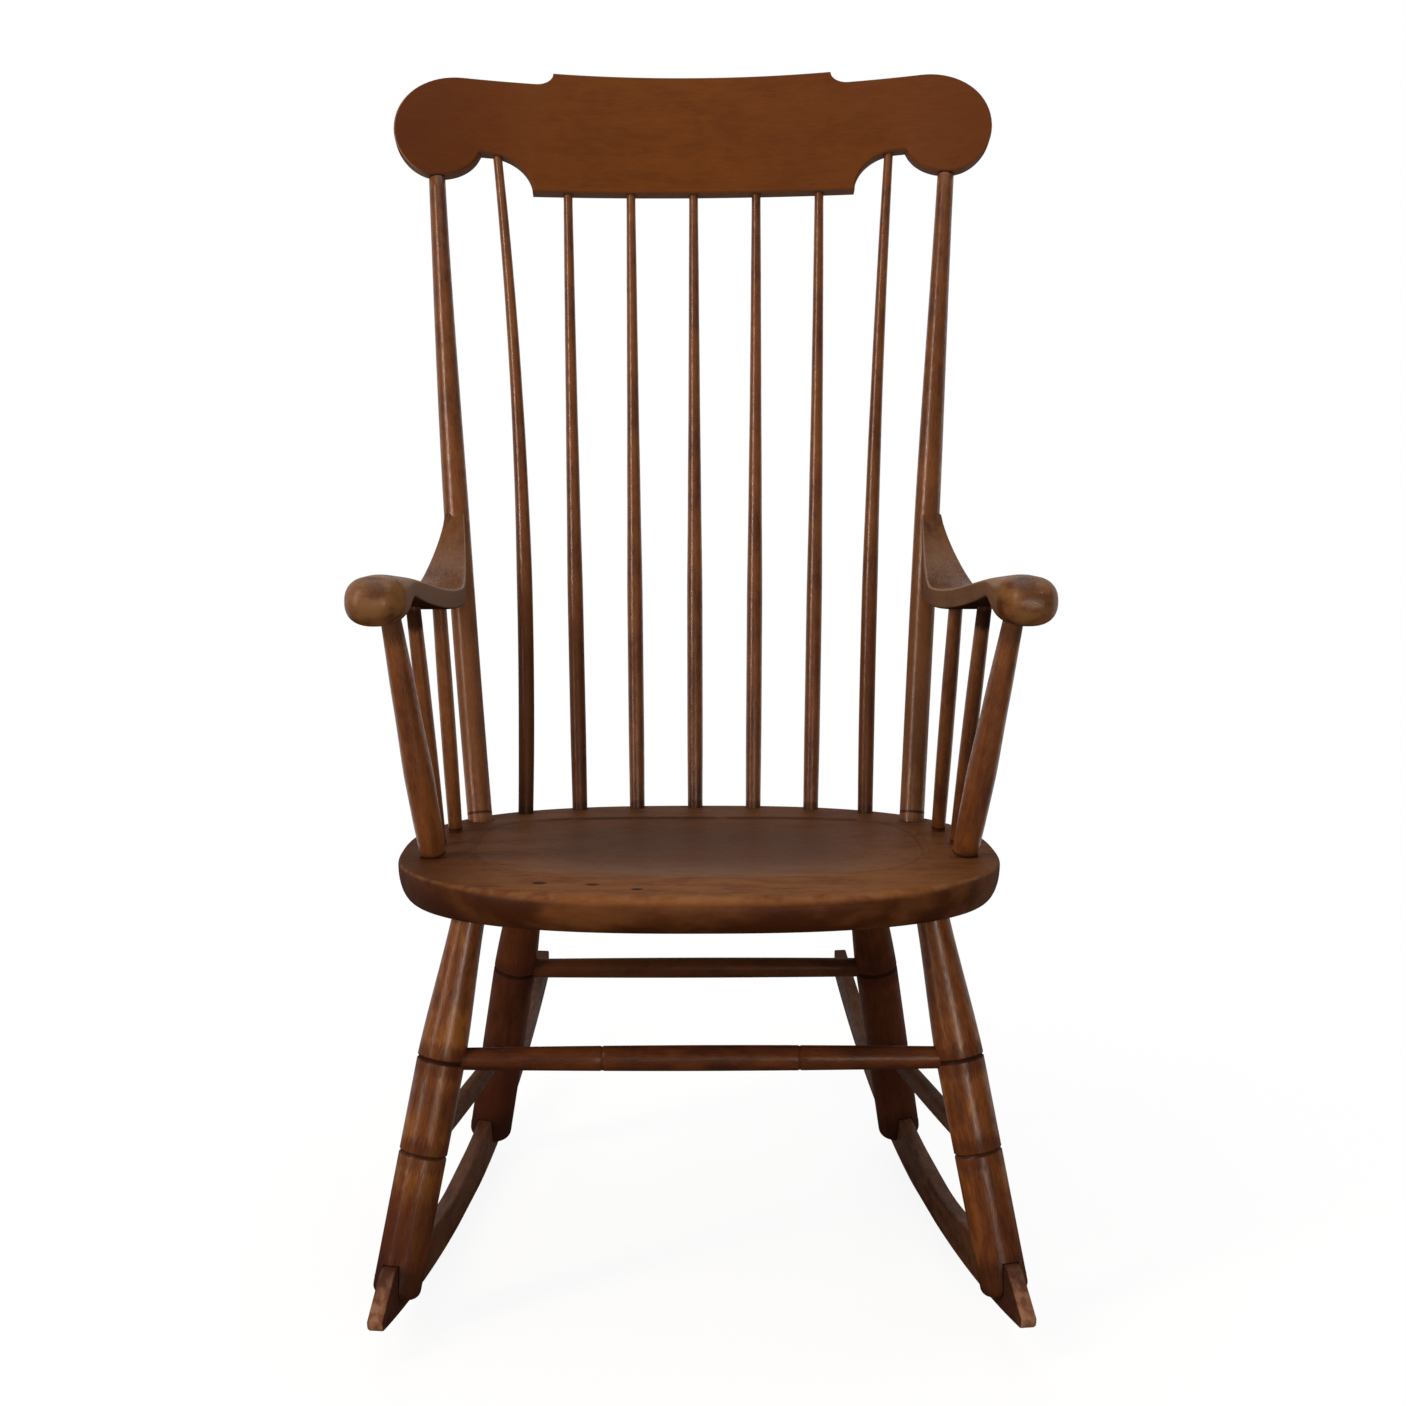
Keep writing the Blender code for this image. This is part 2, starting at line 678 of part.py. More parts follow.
def make_crest(shop):
    """The crest rail: its outline cut from a board, and the bow from a curved slab."""
    deep = 4 * (CREST_THICKNESS - crest_bow(CREST_HALF_LENGTH))
    crest = shop.board("crest_rail", crest_outline(), deep)
    crest.matrix_basis = SEAT_FRAME @ crest_frame() @ Matrix.Rotation(math.radians(90), 4, "X")
    reach = CREST_HALF_LENGTH + CREST_THICKNESS
    stations = [mix(-reach, reach, i / CREST_PIECES) for i in range(CREST_PIECES + 1)]
    outline = [(u, crest_bow(u) - CREST_THICKNESS / 2) for u in stations]
    outline += [(u, crest_bow(u) + CREST_THICKNESS / 2) for u in reversed(stations)]
    slab = shop.keep_cutter(shop.board("crest_slab", outline, 2 * CREST_HEIGHT))
    slab.matrix_basis = SEAT_FRAME @ crest_frame() @ Matrix.Translation((0, 0, CREST_HEIGHT / 2))
    cut(crest, [slab], "INTERSECT")
    return crest


def back_post():
    """The left back post."""
    y = SEAT_BACK_REACH - POST_FOOT_BACK
    head = on_crest(CREST_HALF_LENGTH - CREST_POST_INSET, CREST_SCROLL_RISE)
    return Stick((SEAT_HALF_WIDTH - POST_FOOT_INSET, y, 0), head, POST_BEND)


def back_spindle(steps):
    """The spindle that many steps to the left of the middle."""
    x = steps * SPINDLE_PITCH
    foot = (x, spindle_row_y(x), 0)
    if steps < SPINDLE_STEPS:
        return Stick(foot, on_crest(steps * CREST_SPINDLE_PITCH, 0.0), SPINDLE_BEND)
    u = CREST_BOTTOM_HALF + CREST_COVE_RUN * OUTER_SPINDLE_COVE_SHARE
    return Stick(foot, on_crest(u, CREST_COVE_HEIGHT), SPINDLE_BEND, OUTER_SPINDLE_FLARE)


def make_back_post(shop, name, side, grow=0.0):
    """A bent post, thickest at the arm, with a shouldered tenon in the crest rail."""
    post = back_post()
    arm_share = ARM_TIP_TOP / post.head.z
    route = [post.past_foot(BACK_SOCKET_DEPTH)]
    radii = [POST_FOOT_DIAMETER / 2]
    for share in POST_LOW_STATIONS:
        route.append(post.at(arm_share * share))
        radii.append(mix(POST_FOOT_DIAMETER, POST_ARM_DIAMETER, share) / 2)
    for share in POST_HIGH_STATIONS:
        route.append(post.at(mix(arm_share, 1, share)))
        radii.append(mix(POST_ARM_DIAMETER, POST_TOP_DIAMETER, share) / 2)
    route += [post.past_head(-POST_SHOULDER_GAP - CLEARANCE), post.past_head(-POST_SHOULDER_GAP)]
    route.append(post.past_head(POST_TENON_LENGTH))
    radii += [POST_TOP_DIAMETER / 2, POST_TENON_DIAMETER / 2, POST_TENON_DIAMETER / 2]
    return shop.bent(name, [from_seat(mirrored(point, side)) for point in route], radii, grow)


def make_back_spindle(shop, name, steps, grow=0.0):
    """A bent spindle, fullest low down and slim where it enters the crest rail."""
    spindle = back_spindle(abs(steps))
    side = -1 if steps < 0 else 1
    route = [spindle.past_foot(BACK_SOCKET_DEPTH), *(spindle.at(share) for share in SPINDLE_STATIONS)]
    route.append(spindle.past_head(SPINDLE_TENON_LENGTH))
    diameters = [SPINDLE_FOOT_DIAMETER] * 2 + [SPINDLE_SWELL_DIAMETER] * 3
    diameters += [SPINDLE_MIDDLE_DIAMETER, SPINDLE_SLIM_DIAMETER]
    diameters.append((SPINDLE_SLIM_DIAMETER + SPINDLE_TOP_DIAMETER) / 2)
    diameters += [SPINDLE_TOP_DIAMETER] * 2
    level_route = [from_seat(mirrored(point, side)) for point in route]
    return shop.bent(name, level_route, [diameter / 2 for diameter in diameters], grow)


def crest_pin_line(side):
    """The ends of the pin that locks a post's tenon, from the crest rail's back inwards."""
    u = CREST_HALF_LENGTH - CREST_POST_INSET
    height = CREST_SCROLL_RISE + POST_TENON_LENGTH / 2
    outer = crest_frame() @ Vector((u, crest_bow(u) + CREST_THICKNESS / 2 + CLEARANCE, height))
    inner = outer - crest_frame().to_3x3() @ Vector((0, CREST_PIN_LENGTH, 0))
    return from_seat(mirrored(outer, side)), from_seat(mirrored(inner, side))


# Arms

def arm_end(height):
    """The arm's rear end at a height: a line along the post, just in front of its axis."""
    return back_post().at_height(height) - Vector((0, ARM_END_SETBACK, 0))


def arm_root():
    """The lowest point of the arm's rear end."""
    return arm_end(ARM_DIP_TOP - ARM_THICKNESS + ARM_ROOT_LIFT)


def past_dip(y, end):
    """The share of the way from the dip to an end of the arm."""
    return max((y - ARM_DIP_Y) / (end.y - ARM_DIP_Y), 0.0)


def past_hand(y):
    """Rise from 0 at the hand's rear end to 1 where the arm's even run begins."""
    return ease((y - HAND_FRONT_Y - HAND_LENGTH) / HAND_HEEL)


def arm_sweep(y):
    """Rise from 0 at the dip to 1 at the tip."""
    return past_dip(y, arm_end(ARM_TIP_TOP)) ** ARM_SWEEP_POWER


def arm_top(y):
    """The height of the arm's top: level over the hand, down to the dip and up to the tip."""
    heel = HAND_FRONT_Y + HAND_LENGTH
    run = mix(HAND_TOP, ARM_DIP_TOP, ease((y - heel) / (ARM_DIP_Y - heel)))
    return mix(run, ARM_TIP_TOP, arm_sweep(y))


def arm_bottom(y):
    """The height of the arm's underside: low under the hand, even to the dip, up a little at the post."""
    even = arm_top(min(y, ARM_DIP_Y)) - ARM_THICKNESS
    lift = ARM_ROOT_LIFT * past_dip(y, arm_root()) ** ARM_SWEEP_POWER
    return mix(HAND_TOP - HAND_HEIGHT, even + lift, past_hand(y))


def arm_width(y):
    """The arm's width in plan."""
    return mix(mix(HAND_WIDTH, ARM_WIDTH, past_hand(y)), ARM_TIP_WIDTH, arm_sweep(y))


def arm_centre(y):
    """The arm's middle line in plan: in from the hand to the dip, then along the post's inner side."""
    rear_y = max(y, ARM_DIP_Y)
    rear_x = arm_end(arm_top(rear_y)).x - ARM_POST_OVERLAP + arm_width(rear_y) / 2
    hand_y = HAND_FRONT_Y + HAND_LENGTH / 2
    share = min(max((y - hand_y) / (ARM_DIP_Y - hand_y), 0.0), 1.0)
    return mix(rear_x, HAND_X, (1 - share) ** ARM_SWING_POWER)


def arm_ring(top_y, bottom_y, side, drawn_in=1.0):
    """A section of the arm that leans from bottom_y to top_y; drawn_in shrinks it for the hand's roll."""
    top, bottom = arm_top(top_y), arm_bottom(bottom_y)
    squareness = mix(HAND_SQUARENESS, ARM_SQUARENESS, past_hand(top_y))
    half_width = arm_width(top_y) / 2 * mix(1, drawn_in, HAND_ROLL_SHARE)
    half_height = (top - bottom) / 2 * drawn_in
    ring = []
    for i in range(ARM_SIDES):
        turn = math.tau * (i + 0.5) / ARM_SIDES
        across = math.copysign(abs(math.cos(turn)) ** (2 / squareness), math.cos(turn))
        rise = math.copysign(abs(math.sin(turn)) ** (2 / squareness), math.sin(turn))
        lean = mix(bottom_y, top_y, (rise + 1) / 2)
        x = arm_centre(top_y) + half_width * across
        ring.append(mirrored((x, lean, (top + bottom) / 2 + half_height * rise), side))
    return ring


def make_arm(name, side):
    """An arm: a rolled hand, a level run to the dip and a sweep up the front of the post."""
    rings = []
    for share in HAND_STATIONS:
        y = HAND_FRONT_Y + HAND_ROLL * share
        rings.append(arm_ring(y, y, side, math.sqrt(1 - (1 - share) ** 2)))
    heel = HAND_FRONT_Y + HAND_LENGTH
    stations = [heel, *(heel + HAND_HEEL * share for share in ARM_STATIONS)]
    stations += [mix(heel + HAND_HEEL, ARM_DIP_Y, share) for share in ARM_STATIONS]
    rings += [arm_ring(y, y, side) for y in stations]
    for share in SWEEP_STATIONS:
        tip = mix(ARM_DIP_Y, arm_end(ARM_TIP_TOP).y, share)
        root = mix(ARM_DIP_Y, arm_root().y, share)
        rings.append(arm_ring(tip, root, side))
    arm = loft(name, rings)
    arm.matrix_basis = SEAT_FRAME
    return arm


def arm_row_foot(y):
    """A foot on the seat's side, a set distance in from its edge."""
    return Vector((seat_half_width(y) - ARM_ROW_INSET, y, 0))


def arm_head(y, inset):
    """A point of the arm's underside, a distance in from its middle line."""
    return Vector((arm_centre(y) - inset, y, arm_bottom(y)))


def make_arm_support(name, foot_y, top_y, inset, side, stops, grow=0.0):
    """A turned upright from the seat to the arm; stops are (share of its height, diameter) pairs."""
    foot = from_seat(mirrored(arm_row_foot(foot_y), side))
    head = from_seat(mirrored(arm_head(top_y, inset), side))
    length = (head - foot).length
    profile = [(-ARM_SEAT_SOCKET, stops[0][1] / 2), *((length * share, size / 2) for share, size in stops)]
    profile.append((length + ARM_SOCKET, stops[-1][1] / 2))
    return turned(name, foot, head, profile, grow, SLIM_SIDES)


def arm_post_stops():
    """The arm post's diameters: a swell a third of the way up, slim under the hand."""
    low = mix(ARM_POST_FOOT_DIAMETER, ARM_POST_SWELL_DIAMETER, ARM_POST_LOW_SWELL)
    high = mix(ARM_POST_SWELL_DIAMETER, ARM_POST_TOP_DIAMETER, ARM_POST_HIGH_TAPER)
    diameters = (ARM_POST_FOOT_DIAMETER, low, ARM_POST_SWELL_DIAMETER, high, ARM_POST_TOP_DIAMETER)
    return tuple(zip(ARM_POST_STATIONS, diameters))


def arm_spindle_stops():
    """The short spindle's diameters: a slight swell at its middle."""
    end, middle = ARM_SPINDLE_END_DIAMETER, ARM_SPINDLE_DIAMETER
    return tuple(zip(ARM_SPINDLE_STATIONS, (end, middle, middle, end)))


def arm_screw_line(side):
    """The line of the screw that holds an arm: from the back of the post forwards."""
    height = ARM_DIP_TOP + ARM_SCREW_LIFT
    middle = back_post().at_height(height)
    behind = POST_ARM_DIAMETER / 2 / math.cos(math.radians(CREST_TILT)) + CLEARANCE
    start = middle + Vector((0, behind, 0))
    ahead = start - Vector((0, ARM_SCREW_LENGTH, 0))
    return from_seat(mirrored(start, side)), from_seat(mirrored(ahead, side))


def arm_screw_profile(grow=0.0):
    """The screw's head and shank, or with grow their hole."""
    head = ARM_PLUG_LENGTH + CLEARANCE
    neck = head + ARM_SCREW_HEAD_LENGTH + grow
    head_radius = ARM_SCREW_HEAD_DIAMETER / 2 + grow
    shank_radius = ARM_SCREW_DIAMETER / 2 + grow
    return [(head, head_radius), (neck, head_radius), (neck + CLEARANCE, shank_radius),
            (head + ARM_SCREW_LENGTH + grow, shank_radius)]


def make_arm_screw(name, side):
    """The screw through a post into its arm, behind the plug."""
    return turned(name, *arm_screw_line(side), arm_screw_profile(), sides=SLIM_SIDES)


def make_arm_plug(name, side):
    """The wooden plug over an arm screw."""
    return make_pin(name, *arm_screw_line(side), ARM_PLUG_DIAMETER, ARM_PLUG_LENGTH)


def make_arm_hole(name, side):
    """The stepped hole for an arm's plug and screw, open at the back of the post."""
    plug_radius = ARM_PLUG_DIAMETER / 2 + CLEARANCE
    profile = [(-CLEARANCE, plug_radius), (ARM_PLUG_LENGTH, plug_radius), *arm_screw_profile(CLEARANCE)]
    return turned(name, *arm_screw_line(side), profile, sides=SLIM_SIDES)


# Assembly

def build():
    """Make every piece, cut the sockets with grown copies of what enters them, and stand the chair up."""
    clear_scene()
    shop = Workshop()

    def fitted(make, name, *values, look=MAPLE, metallic=0.0):
        """A part and the cutter for its sockets."""
        part = shop.keep(make(name, *values), look, metallic)
        socket = shop.keep_cutter(make(name + "_socket", *values, grow=CLEARANCE))
        return part, socket

    def bent_post(name, side, grow=0.0):
        return make_back_post(shop, name, side, grow)

    def bent_spindle(name, steps, grow=0.0):
        return make_back_spindle(shop, name, steps, grow)

    seat = shop.keep(make_seat(), WORN_MAPLE)
    crest = shop.keep(make_crest(shop), MAPLE)
    seat_sockets, crest_sockets = [], []

    for number, steps in enumerate(range(-SPINDLE_STEPS, SPINDLE_STEPS + 1), start=1):
        _, socket = fitted(bent_spindle, f"back_spindle_{number}", steps)
        seat_sockets.append(socket)
        crest_sockets.append(socket)

    front = Leg(FRONT_LEG_INSET, FRONT_LEG_TOP_Y, (FRONT_FOOT_X, FRONT_FOOT_Y), FRONT_FOOT_RISE,
                FRONT_LOW_RING, FRONT_HIGH_RING)
    rear = Leg(REAR_LEG_INSET, REAR_LEG_TOP_Y, (REAR_FOOT_X, REAR_FOOT_Y), REAR_FOOT_RISE,
               REAR_LOW_RING, REAR_HIGH_RING)
    cross_stretchers = (("front_stretcher", front, FRONT_STRETCHER_DIAMETER, FRONT_STRETCHER_END,
                         FRONT_STRETCHER_RING_X),
                        ("rear_stretcher", rear, REAR_STRETCHER_DIAMETER, REAR_STRETCHER_END, None))
    leg_cuts = {(leg, side): [] for leg in (front, rear) for _, side in SIDES}
    for name, leg, middle, end, ring_x in cross_stretchers:
        ends = leg.at(leg.high_ring, 1), leg.at(leg.high_ring, -1)
        _, socket = fitted(make_stretcher, name, *ends, middle, end, ring_x)
        for _, side in SIDES:
            leg_cuts[leg, side].append(socket)

    for word, side in SIDES:
        post, post_socket = fitted(bent_post, f"back_post_{word}", side)
        arm = shop.keep(make_arm(f"arm_{word}", side), WORN_MAPLE)
        _, arm_post_socket = fitted(make_arm_support, f"arm_post_{word}", ARM_POST_FOOT_Y, ARM_POST_TOP_Y,
                                    ARM_POST_TOP_INSET, side, arm_post_stops())
        arm_sockets = [post_socket, arm_post_socket]
        seat_sockets += [post_socket, arm_post_socket]
        crest_sockets.append(post_socket)
        short_spindles = zip(("front", "rear"), ARM_SPINDLE_FOOT_YS, ARM_SPINDLE_TOP_YS,
                             ARM_SPINDLE_TOP_INSETS)
        for place, foot_y, top_y, inset in short_spindles:
            _, socket = fitted(make_arm_support, f"arm_spindle_{word}_{place}", foot_y, top_y, inset, side,
                               arm_spindle_stops())
            arm_sockets.append(socket)
            seat_sockets.append(socket)
        shop.keep(make_arm_screw(f"arm_screw_{word}", side), STEEL, metallic=1.0)
        shop.keep(make_arm_plug(f"arm_plug_{word}", side), MAPLE)
        arm_hole = shop.keep_cutter(make_arm_hole(f"arm_screw_{word}_hole", side))
        _, crest_pin_hole = fitted(make_pin, f"crest_pin_{word}", *crest_pin_line(side), CREST_PIN_DIAMETER)
        crest_sockets.append(crest_pin_hole)
        cut(arm, [*arm_sockets, arm_hole])
        cut(post, [arm_hole, crest_pin_hole])

        rocker = shop.keep(shop.board(f"rocker_{word}", rocker_outline(), ROCKER_THICKNESS), DARK_MAPLE)
        slot = shop.keep_cutter(shop.board(f"rocker_{word}_slot", rocker_outline(CLEARANCE),
                                           ROCKER_THICKNESS + 2 * CLEARANCE))
        rocker.matrix_basis = rocker_frame(side)
        slot.matrix_basis = rocker_frame(side)
        ends = front.at(front.low_ring, side), rear.at(rear.low_ring, side)
        _, stretcher_socket = fitted(make_stretcher, f"side_stretcher_{word}", *ends,
                                     SIDE_STRETCHER_DIAMETER, SIDE_STRETCHER_END, look=DARK_MAPLE)
        for place, leg in (("front", front), ("rear", rear)):
            part, leg_socket = fitted(leg.make, f"leg_{place}_{word}", side)
            _, pin_hole = fitted(make_pin, f"rocker_pin_{place}_{word}", *leg.pin_line(side),
                                 ROCKER_PIN_DIAMETER, look=DARK_MAPLE)
            seat_sockets.append(leg_socket)
            cut(part, [*leg_cuts[leg, side], stretcher_socket, slot, pin_hole])
            cut(rocker, [pin_hole])

    cut(seat, seat_sockets)
    cut(crest, crest_sockets)
    stand_at_origin(shop)


def stand_at_origin(shop):
    """Move the chair so that the middle of its bottom is at the origin."""
    bpy.context.view_layer.update()
    depsgraph = bpy.context.evaluated_depsgraph_get()
    corners = []
    for part in shop.parts.objects:
        if part.type == "MESH":
            solid = part.evaluated_get(depsgraph)
            corners += [solid.matrix_world @ vertex.co for vertex in solid.data.vertices]
    ys = [corner.y for corner in corners]
    shop.frame.location = (0, -(min(ys) + max(ys)) / 2, -min(corner.z for corner in corners))


build()
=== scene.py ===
"""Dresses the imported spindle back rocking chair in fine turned, bent, carved and sawn wood.

Each sub-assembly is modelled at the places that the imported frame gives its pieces, as a maker would:
round pieces are turned and, where needed, bent; boards are sawn, rounded over and bowed; the seat and
the arms are carved through sections. Every piece stores where its surface lies in its own timber, so
that the grain runs along it. Lengths are metres. The chair faces -Y, and the sitter's left is +X.
"""
from __future__ import annotations

import json
import logging
import math
import random
from dataclasses import dataclass, field, replace
from enum import Enum
from typing import Callable, Iterable, Mapping, Optional, Sequence, Union

import bmesh
import bpy
from mathutils import Matrix, Vector

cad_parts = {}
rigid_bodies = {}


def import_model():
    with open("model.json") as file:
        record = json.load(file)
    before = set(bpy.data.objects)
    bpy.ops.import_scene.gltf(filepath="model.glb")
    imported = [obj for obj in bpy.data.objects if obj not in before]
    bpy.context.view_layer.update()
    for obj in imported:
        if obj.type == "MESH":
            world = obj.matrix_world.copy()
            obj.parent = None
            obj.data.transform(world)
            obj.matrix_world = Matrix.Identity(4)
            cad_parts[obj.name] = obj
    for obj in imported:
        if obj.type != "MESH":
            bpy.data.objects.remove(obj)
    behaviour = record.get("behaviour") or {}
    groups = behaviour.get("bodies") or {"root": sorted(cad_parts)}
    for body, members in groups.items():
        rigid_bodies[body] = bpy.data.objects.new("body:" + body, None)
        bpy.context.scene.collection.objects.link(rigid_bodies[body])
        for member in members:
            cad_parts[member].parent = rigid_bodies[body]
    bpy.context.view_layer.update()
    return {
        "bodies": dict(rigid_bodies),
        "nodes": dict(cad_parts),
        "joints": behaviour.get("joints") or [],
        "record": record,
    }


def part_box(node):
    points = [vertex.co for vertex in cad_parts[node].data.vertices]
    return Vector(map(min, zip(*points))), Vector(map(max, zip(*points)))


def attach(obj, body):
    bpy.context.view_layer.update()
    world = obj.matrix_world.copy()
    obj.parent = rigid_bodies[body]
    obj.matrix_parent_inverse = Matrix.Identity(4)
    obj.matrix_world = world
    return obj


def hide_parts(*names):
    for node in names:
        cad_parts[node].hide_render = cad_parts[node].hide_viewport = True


LOG = logging.getLogger("rocking_chair")
BODY = "root"
TIMBER = "timber"
ZONE = "zone"
MERGE = 1e-6
SEED = 11
STREAKS = (330.0, 330.0, 9.0)
FIBRES = (1100.0, 1100.0, 130.0)
PATCHES = (30.0, 30.0, 15.0)
BLOTS = (120.0, 120.0, 50.0)
# How far the painted shade in corners reaches.
OCCLUSION_SHADE_REACH = 0.009
SMOOTH_ANGLE = math.radians(40)
EDGE_STEPS = 4
PIN_HEAD = ((-0.0003, 0.55), (-0.0002, 0.85), (0.0003, 0.98), (0.0008, 1.0))
PIN_END = (0.001, 0.8)
PIN_SIDES = 24
PLAIN_STEP = 0.02

Colour = tuple[float, float, float]
Point2 = tuple[float, float]
Point3 = tuple[float, float, float]
Zone = tuple[float, float, float]
Placing = Callable[[Vector], Vector]


class Side(Enum):
    """The sitter's left and right, with the sign of X."""

    LEFT = 1
    RIGHT = -1

    @property
    def word(self) -> str:
        """The side's word in the names of nodes."""
        return self.name.lower()

    def turn(self, point: Vector) -> Vector:
        """A left-hand point mirrored to this side."""
        return Vector((point.x * self.value, point.y, point.z))


class Slot(str, Enum):
    """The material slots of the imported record."""

    MAPLE = "maple"
    DARK = "dark_maple"
    WORN = "worn_maple"
    STEEL = "steel"


def ease(value: float) -> float:
    """Rise from 0 to 1 with level ends."""
    value = min(max(value, 0.0), 1.0)
    return value * value * (3 - 2 * value)


def mix(start: float, end: float, share: float) -> float:
    """The value a share of the way from start to end."""
    return start + (end - start) * share


def spread(start: float, end: float, count: int) -> list[float]:
    """Evenly spaced values from start to end, both included."""
    return [mix(start, end, i / (count - 1)) for i in range(count)]


def spread_plain(start: float, end: float, radius: float) -> list[Point2]:
    """Profile points every 20 mm or so along an even stretch."""
    return [(place, radius) for place in spread(start, end, 2 + int((end - start) / PLAIN_STEP))[1:-1]]


def follow(stops: Sequence[Point2], place: float) -> float:
    """Read a value between stops, each a (place, value) pair, with eased changes.

    Args:
        stops: The pairs, in rising order of place.
        place: Where to read; beyond the ends the end value holds.

    Returns:
        The value at that place.
    """
    for (start, first), (end, second) in zip(stops, stops[1:]):
        if place <= end:
            share = min(max((place - start) / (end - start), 0.0), 1.0)
            return mix(first, second, mix(share, ease(share), 0.5))
    return stops[-1][1]


def arc(centre: Point2, reaches: Point2, angles: Point2, steps: int) -> list[Point2]:
    """Points along an oval's arc.

    Args:
        centre: The oval's middle.
        reaches: Half its width and half its height.
        angles: Where the arc starts and ends, in degrees.
        steps: How many lengths it is divided into.

    Returns:
        The points, both ends included.
    """
    (x, y), (across, up) = centre, reaches
    turns = [math.radians(angle) for angle in spread(*angles, steps + 1)]
    return [(x + across * math.cos(turn), y + up * math.sin(turn)) for turn in turns]


def laid_along(start: Vector, end: Vector) -> Matrix:
    """Lay the Z axis on a line.

    Args:
        start: Where the line starts.
        end: Where it ends.

    Returns:
        The matrix that does so.
    """
    matrix = (end - start).to_track_quat("Z", "Y").to_matrix().to_4x4()
    matrix.translation = start
    return matrix


class Signal:
    """A shader value, combined with others by Python's operators."""

    def __init__(self, graph: ShaderGraph, socket: bpy.types.NodeSocket) -> None:
        """Keep the graph and the output that the value comes from."""
        self.graph = graph
        self.socket = socket

    def _math(self, operation: str, first: Value, second: Value = 0.0) -> Signal:
        """A Math node on two values."""
        return self.graph.node("ShaderNodeMath", {"operation": operation}, {0: first, 1: second})

    def __add__(self, other: Value) -> Signal:
        """This plus another value."""
        return self._math("ADD", self, other)

    def __sub__(self, other: Value) -> Signal:
        """This less another value."""
        return self._math("SUBTRACT", self, other)

    def __rsub__(self, other: Value) -> Signal:
        """Another value less this."""
        return self._math("SUBTRACT", other, self)

    def __mul__(self, other: Value) -> Signal:
        """This times another value."""
        return self._math("MULTIPLY", self, other)

    def __abs__(self) -> Signal:
        """This without its sign."""
        return self._math("ABSOLUTE", self)

    __radd__ = __add__
    __rmul__ = __mul__

    def at_least(self, other: Value) -> Signal:
        """The larger of this and another value."""
        return self._math("MAXIMUM", self, other)

    def rise(self, low: float, high: float) -> Signal:
        """An eased rise from 0 to 1, or a fall where high is the smaller.

        Args:
            low: Where it is 0.
            high: Where it is 1.

        Returns:
            The rise.
        """
        ends = {"Value": self, "From Min": low, "From Max": high}
        if high < low:
            ends.update({"From Min": high, "From Max": low, "To Min": 1.0, "To Max": 0.0})
        return self.graph.node("ShaderNodeMapRange", {"interpolation_type": "SMOOTHSTEP"}, ends)


Value = Union[Signal, float, Sequence[float]]


class ShaderGraph:
    """Adds nodes to one node tree and hands back their outputs as signals."""

    def __init__(self, tree: bpy.types.NodeTree) -> None:
        """Keep the node tree."""
        self.tree = tree

    def node(self, kind: str, settings: Optional[Mapping[str, object]] = None,
             inputs: Optional[Mapping[Union[int, str], Value]] = None,
             output: Union[int, str] = 0) -> Signal:
        """Add one node.

        Args:
            kind: The node's type.
            settings: Its own settings, set first.
            inputs: Values or signals for its sockets, by index or name.
            output: The output to hand back.

        Returns:
            The output as a signal.
        """
        made = self.tree.nodes.new(kind)
        for name, value in (settings or {}).items():
            setattr(made, name, value)
        for key, value in (inputs or {}).items():
            self.feed(made.inputs[key], value)
        return Signal(self, made.outputs[output])

    def feed(self, socket: bpy.types.NodeSocket, value: Value) -> None:
        """Link a signal to a socket, or set a constant on it.

        Args:
            socket: The input.
            value: The signal or the constant.
        """
        if isinstance(value, Signal):
            self.tree.links.new(value.socket, socket)
        elif socket.type == "RGBA":
            socket.default_value = (*value, 1.0)
        else:
            socket.default_value = value

    def attribute(self, name: str) -> Signal:
        """A vector stored on the mesh."""
        return self.node("ShaderNodeAttribute", {"attribute_name": name}, output="Vector")

    def place(self) -> Signal:
        """The place on the chair."""
        return self.node("ShaderNodeTexCoord", output="Object")

    def normal(self) -> tuple[Signal, Signal, Signal]:
        """How far the surface faces to the sitter's left, to the back and up."""
        return self.parts(self.node("ShaderNodeNewGeometry", output="Normal"))

    def parts(self, vector: Signal) -> tuple[Signal, Signal, Signal]:
        """Take a vector apart.

        Args:
            vector: The vector.

        Returns:
            Its three numbers.
        """
        split = self.node("ShaderNodeSeparateXYZ", inputs={0: vector}).socket.node
        x, y, z = (Signal(self, output) for output in split.outputs)
        return x, y, z

    def noise(self, place: Signal, lumps: Point3, detail: float) -> Signal:
        """Soft noise about 0.5.

        Args:
            place: Where it is read.
            lumps: How many lumps there are to a metre, each way.
            detail: How many finer layers it has.

        Returns:
            The noise.
        """
        fine = self.node("ShaderNodeVectorMath", {"operation": "MULTIPLY"}, {0: place, 1: lumps})
        return self.node("ShaderNodeTexNoise", inputs={"Vector": fine, "Scale": 1.0, "Detail": detail})

    def blend(self, share: Value, first: Value, second: Value) -> Signal:
        """A colour a share of the way from the first to the second."""
        return self.node("ShaderNodeMix", {"data_type": "RGBA"}, {0: share, 6: first, 7: second}, 2)


def new_material(name: str) -> tuple[bpy.types.Material, ShaderGraph, Mapping[str, bpy.types.NodeSocket]]:
    """Start a material.

    Args:
        name: Its name.

    Returns:
        The material, its graph and the sockets of its shader.
    """
    made = bpy.data.materials.new(name)
    made.use_nodes = True
    return made, ShaderGraph(made.node_tree), made.node_tree.nodes["Principled BSDF"].inputs


@dataclass(frozen=True)
class Mark:
    """A band across a piece at a distance along its timber."""

    place: float
    half_width: float
    colour: Colour
    strength: float

    def moved(self, distance: float) -> Mark:
        """The band further along."""
        return replace(self, place=self.place + distance)


@dataclass
class Look:
    """A surface's colour as its layers are laid, with the soft noise of the timber's figure."""

    graph: ShaderGraph
    figure: Signal
    colour: Signal

    def lay(self, share: Value, colour: Value) -> None:
        """Lay a share of a colour over what is there."""
        self.colour = self.graph.blend(share, self.colour, colour)


